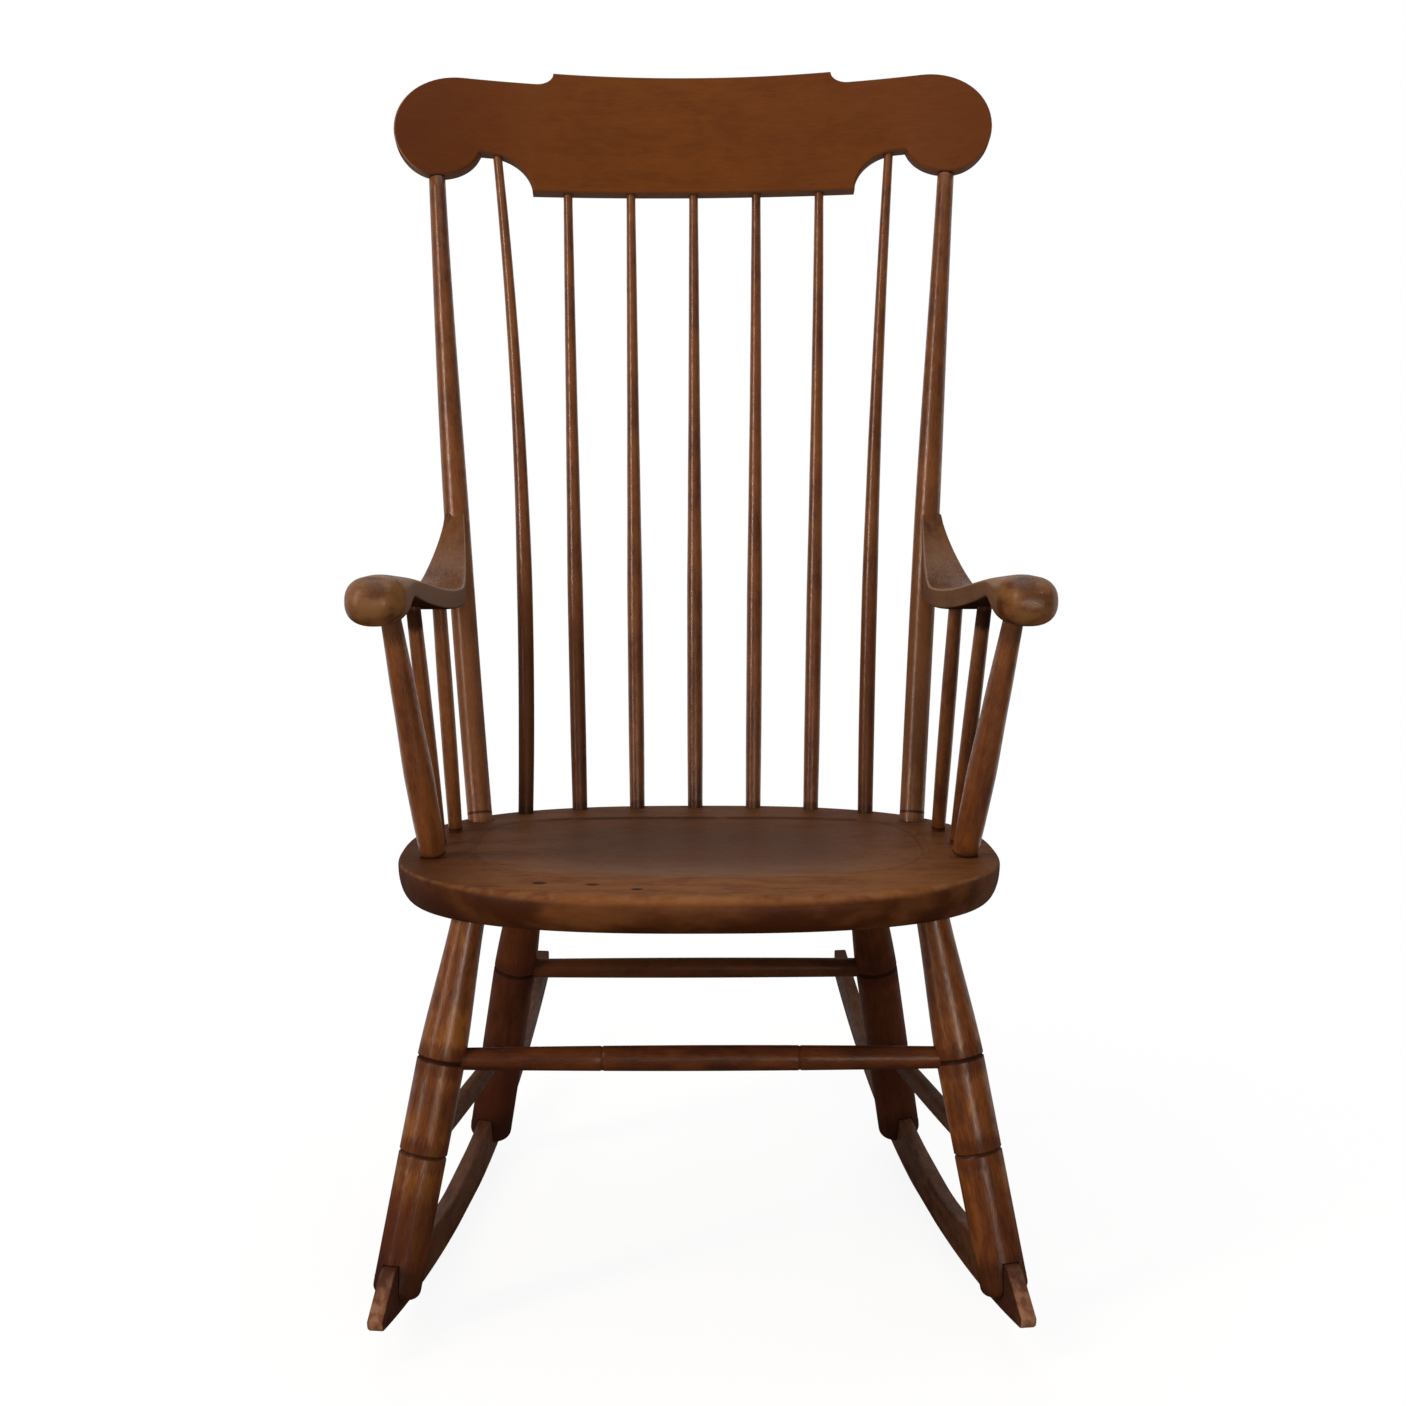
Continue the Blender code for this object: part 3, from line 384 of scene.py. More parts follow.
@dataclass(frozen=True)
class WoodFinish:
    """Stained and lacquered timber: linear colours, and how strongly each change in it shows."""

    name: str
    heart: Colour
    shade: Colour
    glow: Colour
    streak: float = 0.22
    patch: float = 0.45
    blot: float = 0.33
    speck: float = 0.35
    gold: float = 0.5
    # How strongly painted shade darkens corners and the places where parts meet.
    grime: float = 0.75
    coat: float = 0.10
    gloss: float = 0.30
    marks: tuple[Mark, ...] = ()
    # The colour of the painted shade.
    soot: Colour = (0.012, 0.005, 0.003)

    def material(self) -> bpy.types.Material:
        """The finish as a material that follows the timber stored on the mesh.

        Returns:
            A new material.
        """
        made, graph, sockets = new_material(self.name)
        timber = graph.attribute(TIMBER)
        streak = graph.noise(timber, STREAKS, 3.0).rise(0.30, 0.70)
        fibre = graph.noise(timber, FIBRES, 2.0)
        patch = graph.noise(timber, PATCHES, 3.0).rise(0.33, 0.67)
        blot = graph.noise(timber, BLOTS, 3.0).rise(0.33, 0.67)
        tone = streak * self.streak + patch * self.patch + blot * self.blot + (fibre - 0.5) * self.speck
        look = Look(graph, patch, graph.blend(tone.rise(0.05, 0.6), self.shade, self.heart))
        look.lay(tone.rise(0.5, 0.95) * self.gold, self.glow)
        dull = self.banded(look, timber, fibre)
        matt = self.detailed(look)
        # Painted shade: darken the colour in corners and where parts meet, as ambient occlusion finds
        # them.
        air = graph.node("ShaderNodeAmbientOcclusion", {"samples": 6}, {"Distance": OCCLUSION_SHADE_REACH}, "AO")
        grime = air.rise(0.75, 0.25) * self.grime
        look.lay(grime, self.soot)
        graph.feed(sockets["Base Color"], look.colour)
        graph.feed(sockets["Roughness"], 0.6)
        graph.feed(sockets["Specular IOR Level"], 0.0)
        bright = (1.0 - grime) * (1.0 - dull) * (1.0 - matt)
        graph.feed(sockets["Coat Weight"], bright * (fibre.rise(0.25, 0.75) + 0.45) * self.coat)
        graph.feed(sockets["Coat Roughness"], self.gloss)
        relief = {"Strength": 0.12, "Distance": 0.0006, "Height": fibre * 0.6 + patch * 0.4}
        graph.feed(sockets["Normal"], graph.node("ShaderNodeBump", inputs=relief, output="Normal"))
        return made

    def banded(self, look: Look, timber: Signal, fibre: Signal) -> Signal:
        """Lay the bands over the colour, with ragged edges.

        Args:
            look: The look so far.
            timber: The place in the timber.
            fibre: The fine noise that frays the edges.

        Returns:
            How far the bands dull the coat.
        """
        dull = fibre * 0.0
        for mark in self.marks:
            ragged = (fibre - 0.5) * min(mark.half_width, 0.02)
            away = abs(look.graph.parts(timber)[2] - mark.place) + ragged
            share = away.rise(1.3 * mark.half_width, 0.6 * mark.half_width) * mark.strength
            look.lay(share, mark.colour)
            dull = dull.at_least(share)
        return dull

    def detailed(self, look: Look) -> Value:
        """Hook for what only one kind of piece shows.

        Args:
            look: The look so far.

        Returns:
            How matt the piece's own details are.
        """
        return 0.0


@dataclass(frozen=True)
class SeatFinish(WoodFinish):
    """The seat's finish: darker in the dish and its groove, with a painted reflection at the dish's
    front, worn pale with a painted highlight along the front's upper edge, and painted shade on its ends,
    at the sitter's right and behind.
    """

    dish: Colour = (0.064, 0.029, 0.018)
    # The painted reflection that lightens the dish towards its front.
    sheen: Colour = (0.120, 0.072, 0.049)
    groove: Colour = (0.014, 0.006, 0.004)
    # Worn pale edge colour, which is also a painted highlight.
    edge: Colour = (0.22, 0.11, 0.050)
    # The darker colour of the side faces and of the painted shade on the ends.
    side: Colour = (0.034, 0.0095, 0.0028)
    shadow: Colour = (0.040, 0.017, 0.010)
    # Painted shade at the sitter's right end.
    gloom: Colour = (0.028, 0.009, 0.005)
    dents: tuple[Point3, ...] = ()

    def detailed(self, look: Look) -> Value:
        """Tint the dish with a painted reflection at its front, its groove, the worn edge with a painted
        highlight, and the side, paint shade on the ends, at the sitter's right and behind, and set the
        dents in the rim.

        Args:
            look: The look so far.

        Returns:
            How matt the details are.
        """
        graph, place = look.graph, look.graph.place()
        dish, wear, groove = graph.parts(graph.attribute(ZONE))
        side, back, _ = graph.parts(place)
        rub = graph.noise(place, (60.0, 60.0, 60.0), 3.0)
        # Faces that don't face up take the darker side colour, and both ends take painted shade.
        upright = graph.normal()[2].rise(0.75, 0.25)
        look.lay(upright, graph.blend(look.figure * 0.5, self.side, look.colour))
        look.lay(abs(side).rise(0.14, 0.27) * 0.4, self.side)
        # Painted shade: the sitter's right end is darker.
        look.lay(side.rise(-0.12, -0.25) * 0.5, self.gloom)
        # The dish colour, lightened towards the front with a painted reflection.
        worn = graph.blend(back.rise(-0.12, -0.28) * (0.4 + rub * 0.8), self.dish, self.sheen)
        look.lay(dish * (0.72 + look.figure * 0.2), worn)
        look.lay(back.rise(-0.20, 0.06) * 0.55, self.shadow)
        flank, rear = abs(side).rise(0.10, 0.19), back.rise(-0.1, 0.1)
        clear = rub.rise(0.25, 0.5) * (0.85 - flank * 0.65) * (1.0 - rear * 0.5)
        look.lay(groove * clear, self.groove)
        # The front's upper edge is worn pale, and also lit with a painted highlight.
        look.lay(wear * rub.rise(0.40, 0.65) * 0.3, self.edge)
        for dent in self.dents:
            away = graph.node("ShaderNodeVectorMath", {"operation": "DISTANCE"}, {0: place, 1: dent}, 1)
            look.lay((away + (rub - 0.5) * 0.006).rise(0.0075, 0.0040) * 0.9, self.groove)
        return 0.0


@dataclass(frozen=True)
class CrestFinish(WoodFinish):
    """The crest rail's finish: redder and darker towards its ends, most at the sitter's right, where the
    darkening is painted shade.
    """

    # The ends' redder, darker colour, partly painted shade.
    red: Colour = (0.074, 0.021, 0.008)
    # Dusty grey with a painted reflection, on faces that face down.
    dust: Colour = (0.105, 0.055, 0.032)
    # A pale worn edge colour that is also a painted highlight.
    rubbed: Colour = (0.250, 0.160, 0.100)
    grain: Colour = (0.036, 0.017, 0.012)

    def detailed(self, look: Look) -> Value:
        """Redden and darken the ends, with painted shade at the sitter's right, darken the end grain,
        lighten its edge with wear and a painted highlight, and grey the faces that face down with dusty
        colour and a painted reflection.

        Args:
            look: The look so far.

        Returns:
            How matt the details are.
        """
        side = look.graph.parts(look.graph.place())[0]
        out, facing, up = look.graph.normal()
        # Redder and darker towards the ends; at the sitter's right end the darkening is painted shade.
        right, left = side.rise(-0.08, -0.30), side.rise(0.0, 0.12)
        ends = abs(side).rise(0.14, 0.34) * 0.35 + right * 0.45 + left * 0.12
        look.lay(ends * (look.figure * 0.4 + 0.8), self.red)
        outward = (out * side.rise(-0.02, 0.02) * 2.0 - out) * abs(side).rise(0.24, 0.28)
        look.lay(outward.rise(0.55, 0.80) * 0.75, self.grain)
        # A pale edge, worn and lit with a painted highlight, strongest at the sitter's right end.
        edge = outward.rise(0.10, 0.35) * outward.rise(0.75, 0.50) * facing.rise(0.2, -0.1)
        look.lay(edge * (0.20 + side.rise(0.0, -0.1) * 0.60), self.rubbed)
        # Faces that face down turn dusty grey with a painted reflection of the floor.
        look.lay(up.rise(-0.25, -0.75) * 0.7, self.dust)
        return 0.0


@dataclass(frozen=True)
class ArmFinish(WoodFinish):
    """The arms' finish: dusty grey inside with a painted reflection, painted shade underneath, worn
    golden and nicked at the hands.
    """

    worn: Colour = (0.150, 0.072, 0.028)
    bare: Colour = (0.42, 0.29, 0.17)
    # Dusty grey with a painted reflection, for the inner faces.
    dust: Colour = (0.134, 0.084, 0.062)
    handled: Colour = (0.055, 0.023, 0.010)
    # A pale worn edge colour that is also a painted highlight.
    rubbed: Colour = (0.230, 0.150, 0.100)
    # Dusty grey with a painted reflection, for the tops near the dip.
    bloom: Colour = (0.180, 0.110, 0.076)

    def detailed(self, look: Look) -> Value:
        """Make the inner faces and the tops near the dip dusty grey with a painted reflection, paint
        shade on the underside, lighten the upper edge with wear and a painted highlight, and wear and
        nick the hands.

        Args:
            look: The look so far.

        Returns:
            How matt the details are.
        """
        graph, place = look.graph, look.graph.place()
        wear = graph.parts(graph.attribute(ZONE))[1]
        out, facing, up = graph.normal()
        side, depth, _ = graph.parts(place)
        sitter_left = side.rise(-0.02, 0.02)
        inward = out * sitter_left * 2.0 - out
        matt, under = inward.rise(-0.35, -0.75), up.rise(-0.35, -0.75)
        clean = wear.rise(0.8, 0.4)
        # The inner faces turn dusty grey with a painted reflection.
        look.lay(matt * clean * (0.85 - sitter_left * 0.4), self.dust)
        # Tops that face up near the dip turn dusty grey with a painted reflection.
        look.lay(up.rise(0.70, 0.92) * depth.rise(0.05, 0.14) * 0.7, self.bloom)
        # Painted shade on the underside.
        look.lay(under * clean * 0.8, self.soot)
        # The upper inner edge turns pale, worn and lit with a painted highlight.
        edge = inward.rise(-0.2, -0.5) * up.rise(0.3, 0.6) * (1.0 - wear)
        look.lay(edge * 0.6, self.rubbed)
        rub = graph.noise(place, (32.0, 32.0, 55.0), 3.0)
        nick = graph.noise(place, (260.0, 260.0, 110.0), 1.0)
        look.lay(wear * rub.rise(0.36, 0.66) * 0.9, self.worn)
        look.lay(wear * rub.rise(0.50, 0.36) * 0.65, self.handled)
        look.lay(wear * nick.rise(0.76, 0.80) * 0.7, self.bare)
        return matt.at_least(under).at_least(facing.rise(-0.35, -0.70) * clean * 0.8)


@dataclass(frozen=True)
class RockerFinish(WoodFinish):
    """The rockers' finish: darker behind as painted shade, redder at the toes, which are scuffed, lighter
    on the toes' tops as painted light and darker on their sides as painted shade.
    """

    # The toes' upper faces, redder and lighter as painted light.
    red: Colour = (0.130, 0.048, 0.023)
    scuff: Colour = (0.24, 0.13, 0.075)
    # Painted shade on the toes' sides and high up by the legs.
    dark: Colour = (0.034, 0.011, 0.007)

    def detailed(self, look: Look) -> Value:
        """Redden and lighten the toes' upper faces as painted light, paint shade on their sides, high up
        by the legs and on the tails, and scuff the toes.

        Args:
            look: The look so far.

        Returns:
            How matt the details are.
        """
        graph, place = look.graph, look.graph.place()
        _, back, up = graph.parts(place)
        face = abs(graph.normal()[0]).rise(0.85, 0.5)
        rub = graph.noise(place, (130.0, 60.0, 130.0), 3.0)
        toe = back.rise(-0.22, -0.32)
        # The toes' tops redder and lighter as painted light, their sides darker as painted shade.
        look.lay(toe * 0.85, graph.blend(face, self.dark, self.red))
        # Painted shadow high on the toes, by the legs.
        look.lay(toe * up.rise(0.043, 0.062) * 0.8, self.dark)
        # Painted shade towards the tails.
        look.lay(back.rise(0.28, 0.40) * 0.6, self.soot)
        look.lay(back.rise(-0.335, -0.395) * rub.rise(0.36, 0.64) * (0.1 + face * 0.6), self.scuff)
        return 0.0


@dataclass(frozen=True)
class SteelFinish:
    """Plain turned steel."""

    name: str = "turned_steel"
    colour: Colour = (0.35, 0.34, 0.32)
    marks: Point3 = (300.0, 4000.0, 300.0)

    def material(self) -> bpy.types.Material:
        """The steel as a material with fine turning marks.

        Returns:
            A new material.
        """
        made, graph, sockets = new_material(self.name)
        lines = graph.noise(graph.place(), self.marks, 1.0)
        graph.feed(sockets["Base Color"], self.colour)
        graph.feed(sockets["Metallic"], 1.0)
        graph.feed(sockets["Roughness"], lines * 0.2 + 0.3)
        return made


Finish = Union[WoodFinish, SteelFinish]

PLUM: Colour = (0.036, 0.010, 0.007)
UMBER: Colour = (0.046, 0.015, 0.007)
# The colour of the painted shadow that the hand casts on the arm post.
HAND_SHADOW: Colour = (0.040, 0.020, 0.012)
BLACK: Colour = (0.016, 0.007, 0.004)
PALE: Colour = (0.190, 0.105, 0.050)
DRAB: Colour = (0.120, 0.053, 0.025)
WARM: Colour = (1.0, 0.83, 0.68)
WHITE: Colour = (1.0, 1.0, 1.0)

CREST = CrestFinish("crest_wood", (0.107, 0.033, 0.0070), (0.093, 0.0276, 0.0062),
                    (0.120, 0.0395, 0.0080), streak=0.15, speck=0.5, gloss=0.42)
ROD = WoodFinish("rod_wood", (0.112, 0.037, 0.010), (0.068, 0.021, 0.007), (0.160, 0.061, 0.017),
                 gloss=0.30, coat=0.80)
LEG = WoodFinish("leg_wood", (0.104, 0.030, 0.005), (0.052, 0.0145, 0.0035), (0.184, 0.067, 0.010),
                 patch=0.5, gold=0.75, gloss=0.35, coat=0.60)
# The rear legs' colours: the leg wood darker, as painted shade under the back of the seat.
REAR = WoodFinish("rear_wood", (0.054, 0.016, 0.006), (0.034, 0.011, 0.005), (0.080, 0.026, 0.008))
REAR_RAIL = replace(REAR, name="rear_rail_wood", heart=(0.056, 0.020, 0.009), shade=(0.038, 0.014, 0.007))
RAIL = WoodFinish("rail_wood", (0.058, 0.017, 0.006), (0.034, 0.011, 0.005), (0.096, 0.032, 0.009),
                  gloss=0.34, coat=0.22)
SIDE_RAIL = WoodFinish("side_rail_wood", (0.064, 0.030, 0.017), (0.045, 0.021, 0.012),
                       (0.098, 0.046, 0.024), coat=0.04)
PLANK = SeatFinish("seat_wood", (0.129, 0.048, 0.015), (0.090, 0.030, 0.010), (0.161, 0.067, 0.022),
                   gloss=0.46)
ARM = ArmFinish("arm_wood", (0.096, 0.038, 0.014), (0.056, 0.021, 0.009), (0.134, 0.059, 0.023),
                gloss=0.36, coat=0.45)
BOARD = RockerFinish("rocker_wood", (0.072, 0.031, 0.016), (0.041, 0.017, 0.010), (0.105, 0.048, 0.024))
PEG = WoodFinish("peg_wood", (0.050, 0.018, 0.008), (0.030, 0.011, 0.005), (0.080, 0.030, 0.011))
STEEL = SteelFinish()


@dataclass
class Ring:
    """A section of a carved piece: points, places in the timber, and shares of dish, wear and groove."""

    points: list[Vector]
    timber: list[Vector]
    zone: Zone = (0.0, 0.0, 0.0)


class Workbench:
    """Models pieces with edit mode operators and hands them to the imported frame."""

    def __init__(self, seed: int) -> None:
        """Start the random draws and an empty shelf of materials."""
        self._random = random.Random(seed)
        self._materials: dict[Finish, bpy.types.Material] = {}

    def _begin(self, name: str, count: int, fill: str) -> bpy.types.Object:
        """Start a piece from a circle and open it in edit mode.

        Args:
            name: The piece's name.
            count: How many points the circle has.
            fill: How the circle is filled.

        Returns:
            The piece, with all its points selected.
        """
        bpy.ops.object.select_all(action="DESELECT")
        bpy.ops.mesh.primitive_circle_add(vertices=count, fill_type=fill)
        piece = bpy.context.object
        piece.name = piece.data.name = name
        bpy.ops.object.mode_set(mode="EDIT")
        bpy.ops.mesh.select_mode(type="VERT")
        bpy.ops.mesh.select_all(action="SELECT")
        return piece

    def _pick_edges(self, piece: bpy.types.Object, wanted: Callable[[bmesh.types.BMEdge], bool]) -> None:
        """Select only the edges that a test wants.

        Args:
            piece: The piece in edit mode.
            wanted: The test.
        """
        bpy.ops.mesh.select_mode(type="EDGE")
        bpy.ops.mesh.select_all(action="DESELECT")
        shape = bmesh.from_edit_mesh(piece.data)
        for edge in shape.edges:
            edge.select_set(wanted(edge))
        bmesh.update_edit_mesh(piece.data)

    def _close(self) -> None:
        """Weld the seams, turn the faces outwards and leave edit mode."""
        bpy.ops.mesh.select_mode(type="VERT")
        bpy.ops.mesh.select_all(action="SELECT")
        bpy.ops.mesh.remove_doubles(threshold=MERGE)
        bpy.ops.mesh.normals_make_consistent(inside=False)
        bpy.ops.object.mode_set(mode="OBJECT")

    def turn(self, name: str, profile: Sequence[Point2], sides: int) -> bpy.types.Object:
        """Turn a closed round piece about Z.

        Args:
            name: The piece's name.
            profile: Pairs of distance along the axis and radius.
            sides: How many faces go round.

        Returns:
            The piece, on the Z axis.
        """
        points = [(profile[0][0], 0.0), *profile, (profile[-1][0], 0.0)]
        piece = self._begin(name, len(points), "NOTHING")
        shape = bmesh.from_edit_mesh(piece.data)
        for vertex, (distance, radius) in zip(shape.verts, points):
            vertex.co = (radius, 0.0, distance)
        self._pick_edges(piece, lambda edge: max(vertex.co.x for vertex in edge.verts) == 0.0)
        bpy.ops.mesh.delete(type="EDGE")
        bpy.ops.mesh.select_all(action="SELECT")
        bpy.ops.mesh.spin(steps=sides, angle=math.tau, center=(0, 0, 0), axis=(0, 0, 1))
        self._close()
        return piece

    def turn_along(self, name: str, profile: Sequence[Point2], sides: int, start: Vector,
                   end: Vector) -> bpy.types.Object:
        """Turn a piece and lay its axis on a line.

        Args:
            name: The piece's name.
            profile: Pairs of distance along the axis and radius.
            sides: How many faces go round.
            start: Where the distances start.
            end: A point that the axis leads to.

        Returns:
            The piece in its place.
        """
        piece = self.turn(name, profile, sides)
        matrix = laid_along(start, end)
        self.set_in(piece, lambda point: matrix @ point)
        return piece

    def turn_pin(self, name: str, start: Vector, end: Vector, diameter: float) -> bpy.types.Object:
        """Turn a pin whose head stands just proud of its hole.

        Args:
            name: The piece's name.
            start: The middle of its head.
            end: The middle of its inner end.
            diameter: Its diameter.

        Returns:
            The pin in its place.
        """
        radius, length = diameter / 2, (end - start).length
        profile = [(place, radius * share) for place, share in PIN_HEAD]
        profile += [(length - PIN_END[0], radius), (length, radius * PIN_END[1])]
        return self.turn_along(name, profile, PIN_SIDES, start, end)

    def saw(self, name: str, outline: Sequence[Point2], thickness: float, rounding: float,
            slices: Iterable[float] = ()) -> bpy.types.Object:
        """Saw a board and round its edges over.

        Args:
            name: The piece's name.
            outline: The board's outline in XY.
            thickness: Its thickness, half to each side of Z = 0.
            rounding: The width of the rounded edges, or 0.
            slices: Places on X where the faces are divided, so that the board can be bowed.

        Returns:
            The piece, flat.
        """
        piece = self._begin(name, len(outline), "NGON")
        shape = bmesh.from_edit_mesh(piece.data)
        for vertex, (x, y) in zip(shape.verts, outline):
            vertex.co = (x, y, -thickness / 2)
        bmesh.update_edit_mesh(piece.data)
        bpy.ops.mesh.extrude_region_move(TRANSFORM_OT_translate={"value": (0, 0, thickness)})
        if rounding:
            self._pick_edges(piece, lambda edge: abs(edge.verts[0].co.z - edge.verts[1].co.z) < MERGE)
            bpy.ops.mesh.bevel(offset=rounding, segments=EDGE_STEPS, affect="EDGES")
        for place in slices:
            bpy.ops.mesh.select_all(action="SELECT")
            bpy.ops.mesh.bisect(plane_co=(place, 0, 0), plane_no=(1, 0, 0))
        self._close()
        return piece

    def carve(self, name: str, rings: Sequence[Ring]) -> bpy.types.Object:
        """Carve a piece through sections, each drawn out of the one before.

        Args:
            name: The piece's name.
            rings: The sections, with equally many points.

        Returns:
            The piece in its place.
        """
        piece = self._begin(name, len(rings[0].points), "NGON")
        shape = bmesh.from_edit_mesh(piece.data)
        shape.verts.layers.int.new("place")
        shape.verts.layers.float_vector.new(TIMBER)
        shape.verts.layers.float_vector.new(ZONE)
        place = shape.verts.layers.int["place"]
        for index, vertex in enumerate(shape.verts):
            vertex[place] = index
        shift = self._shift()
        self._lay(piece, rings[0], shift)
        for ring in rings[1:]:
            bpy.ops.mesh.extrude_region_move()
            self._lay(piece, ring, shift)
        self._close()
        piece.data.attributes.remove(piece.data.attributes["place"])
        return piece

    def _lay(self, piece: bpy.types.Object, ring: Ring, shift: Vector) -> None:
        """Put the selected section on its points.

        Args:
            piece: The piece in edit mode.
            ring: The section.
            shift: The piece's place across the timber.
        """
        shape = bmesh.from_edit_mesh(piece.data)
        layers = shape.verts.layers
        place, timber, zone = layers.int["place"], layers.float_vector[TIMBER], layers.float_vector[ZONE]
        for vertex in shape.verts:
            if vertex.select:
                vertex.co = ring.points[vertex[place]]
                vertex[timber] = ring.timber[vertex[place]] + shift
                vertex[zone] = ring.zone
        bmesh.update_edit_mesh(piece.data)

    def _shift(self) -> Vector:
        """A place across the timber, so that no two pieces share their figure."""
        return Vector((self._random.uniform(1, 9), self._random.uniform(1, 9), 0.0))

    def cut(self, piece: bpy.types.Object, cutter: bpy.types.Object) -> None:
        """Cut a piece with another.

        Args:
            piece: The piece that is cut.
            cutter: The other, which is used up.
        """
        slot = piece.modifiers.new("slot", "BOOLEAN")
        slot.operation = "DIFFERENCE"
        slot.solver = "EXACT"
        slot.object = cutter
        bpy.context.view_layer.objects.active = piece
        bpy.ops.object.modifier_apply(modifier=slot.name)
        bpy.data.objects.remove(cutter, do_unlink=True)

    def set_in(self, piece: bpy.types.Object, placing: Placing, on_x: bool = False) -> None:
        """Store a piece's timber and move its points to their place.

        Args:
            piece: The piece as it left the lathe or the saw.
            placing: Where each of its points goes.
            on_x: Whether the grain runs along X and not along Z.
        """
        mesh = piece.data
        shift = self._shift()
        places = [vertex.co.copy() for vertex in mesh.vertices]
        store = mesh.attributes.new(TIMBER, "FLOAT_VECTOR", "POINT")
        for item, vertex, place in zip(store.data, mesh.vertices, places):
            item.vector = (place.yzx if on_x else place) + shift
            vertex.co = placing(place)
        mesh.update()

    def deliver(self, piece: bpy.types.Object, node: str, slot: Slot, finish: Finish) -> None:
        """Smooth and dress a piece and let it stand for its node of the frame.

        Args:
            piece: The finished piece.
            node: The node that it replaces.
            slot: Its material slot; not used.
            finish: Its finish.
        """
        bpy.ops.object.select_all(action="DESELECT")
        piece.select_set(True)
        bpy.context.view_layer.objects.active = piece
        bpy.ops.object.shade_smooth_by_angle(angle=SMOOTH_ANGLE)
        self.dress(piece, finish)
        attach(piece, BODY)
        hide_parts(node)
        LOG.info("%s: %d faces for %s", piece.name, len(piece.data.polygons), node)

    def dress(self, piece: bpy.types.Object, finish: Finish) -> None:
        """Give a piece the material of a finish, made once.

        Args:
            piece: The piece.
            finish: Its finish.
        """
        if finish not in self._materials:
            self._materials[finish] = finish.material()
        piece.data.materials.clear()
        piece.data.materials.append(self._materials[finish])


@dataclass
class SubAssembly:
    """A group of pieces that are made at one bench."""

    bench: Workbench


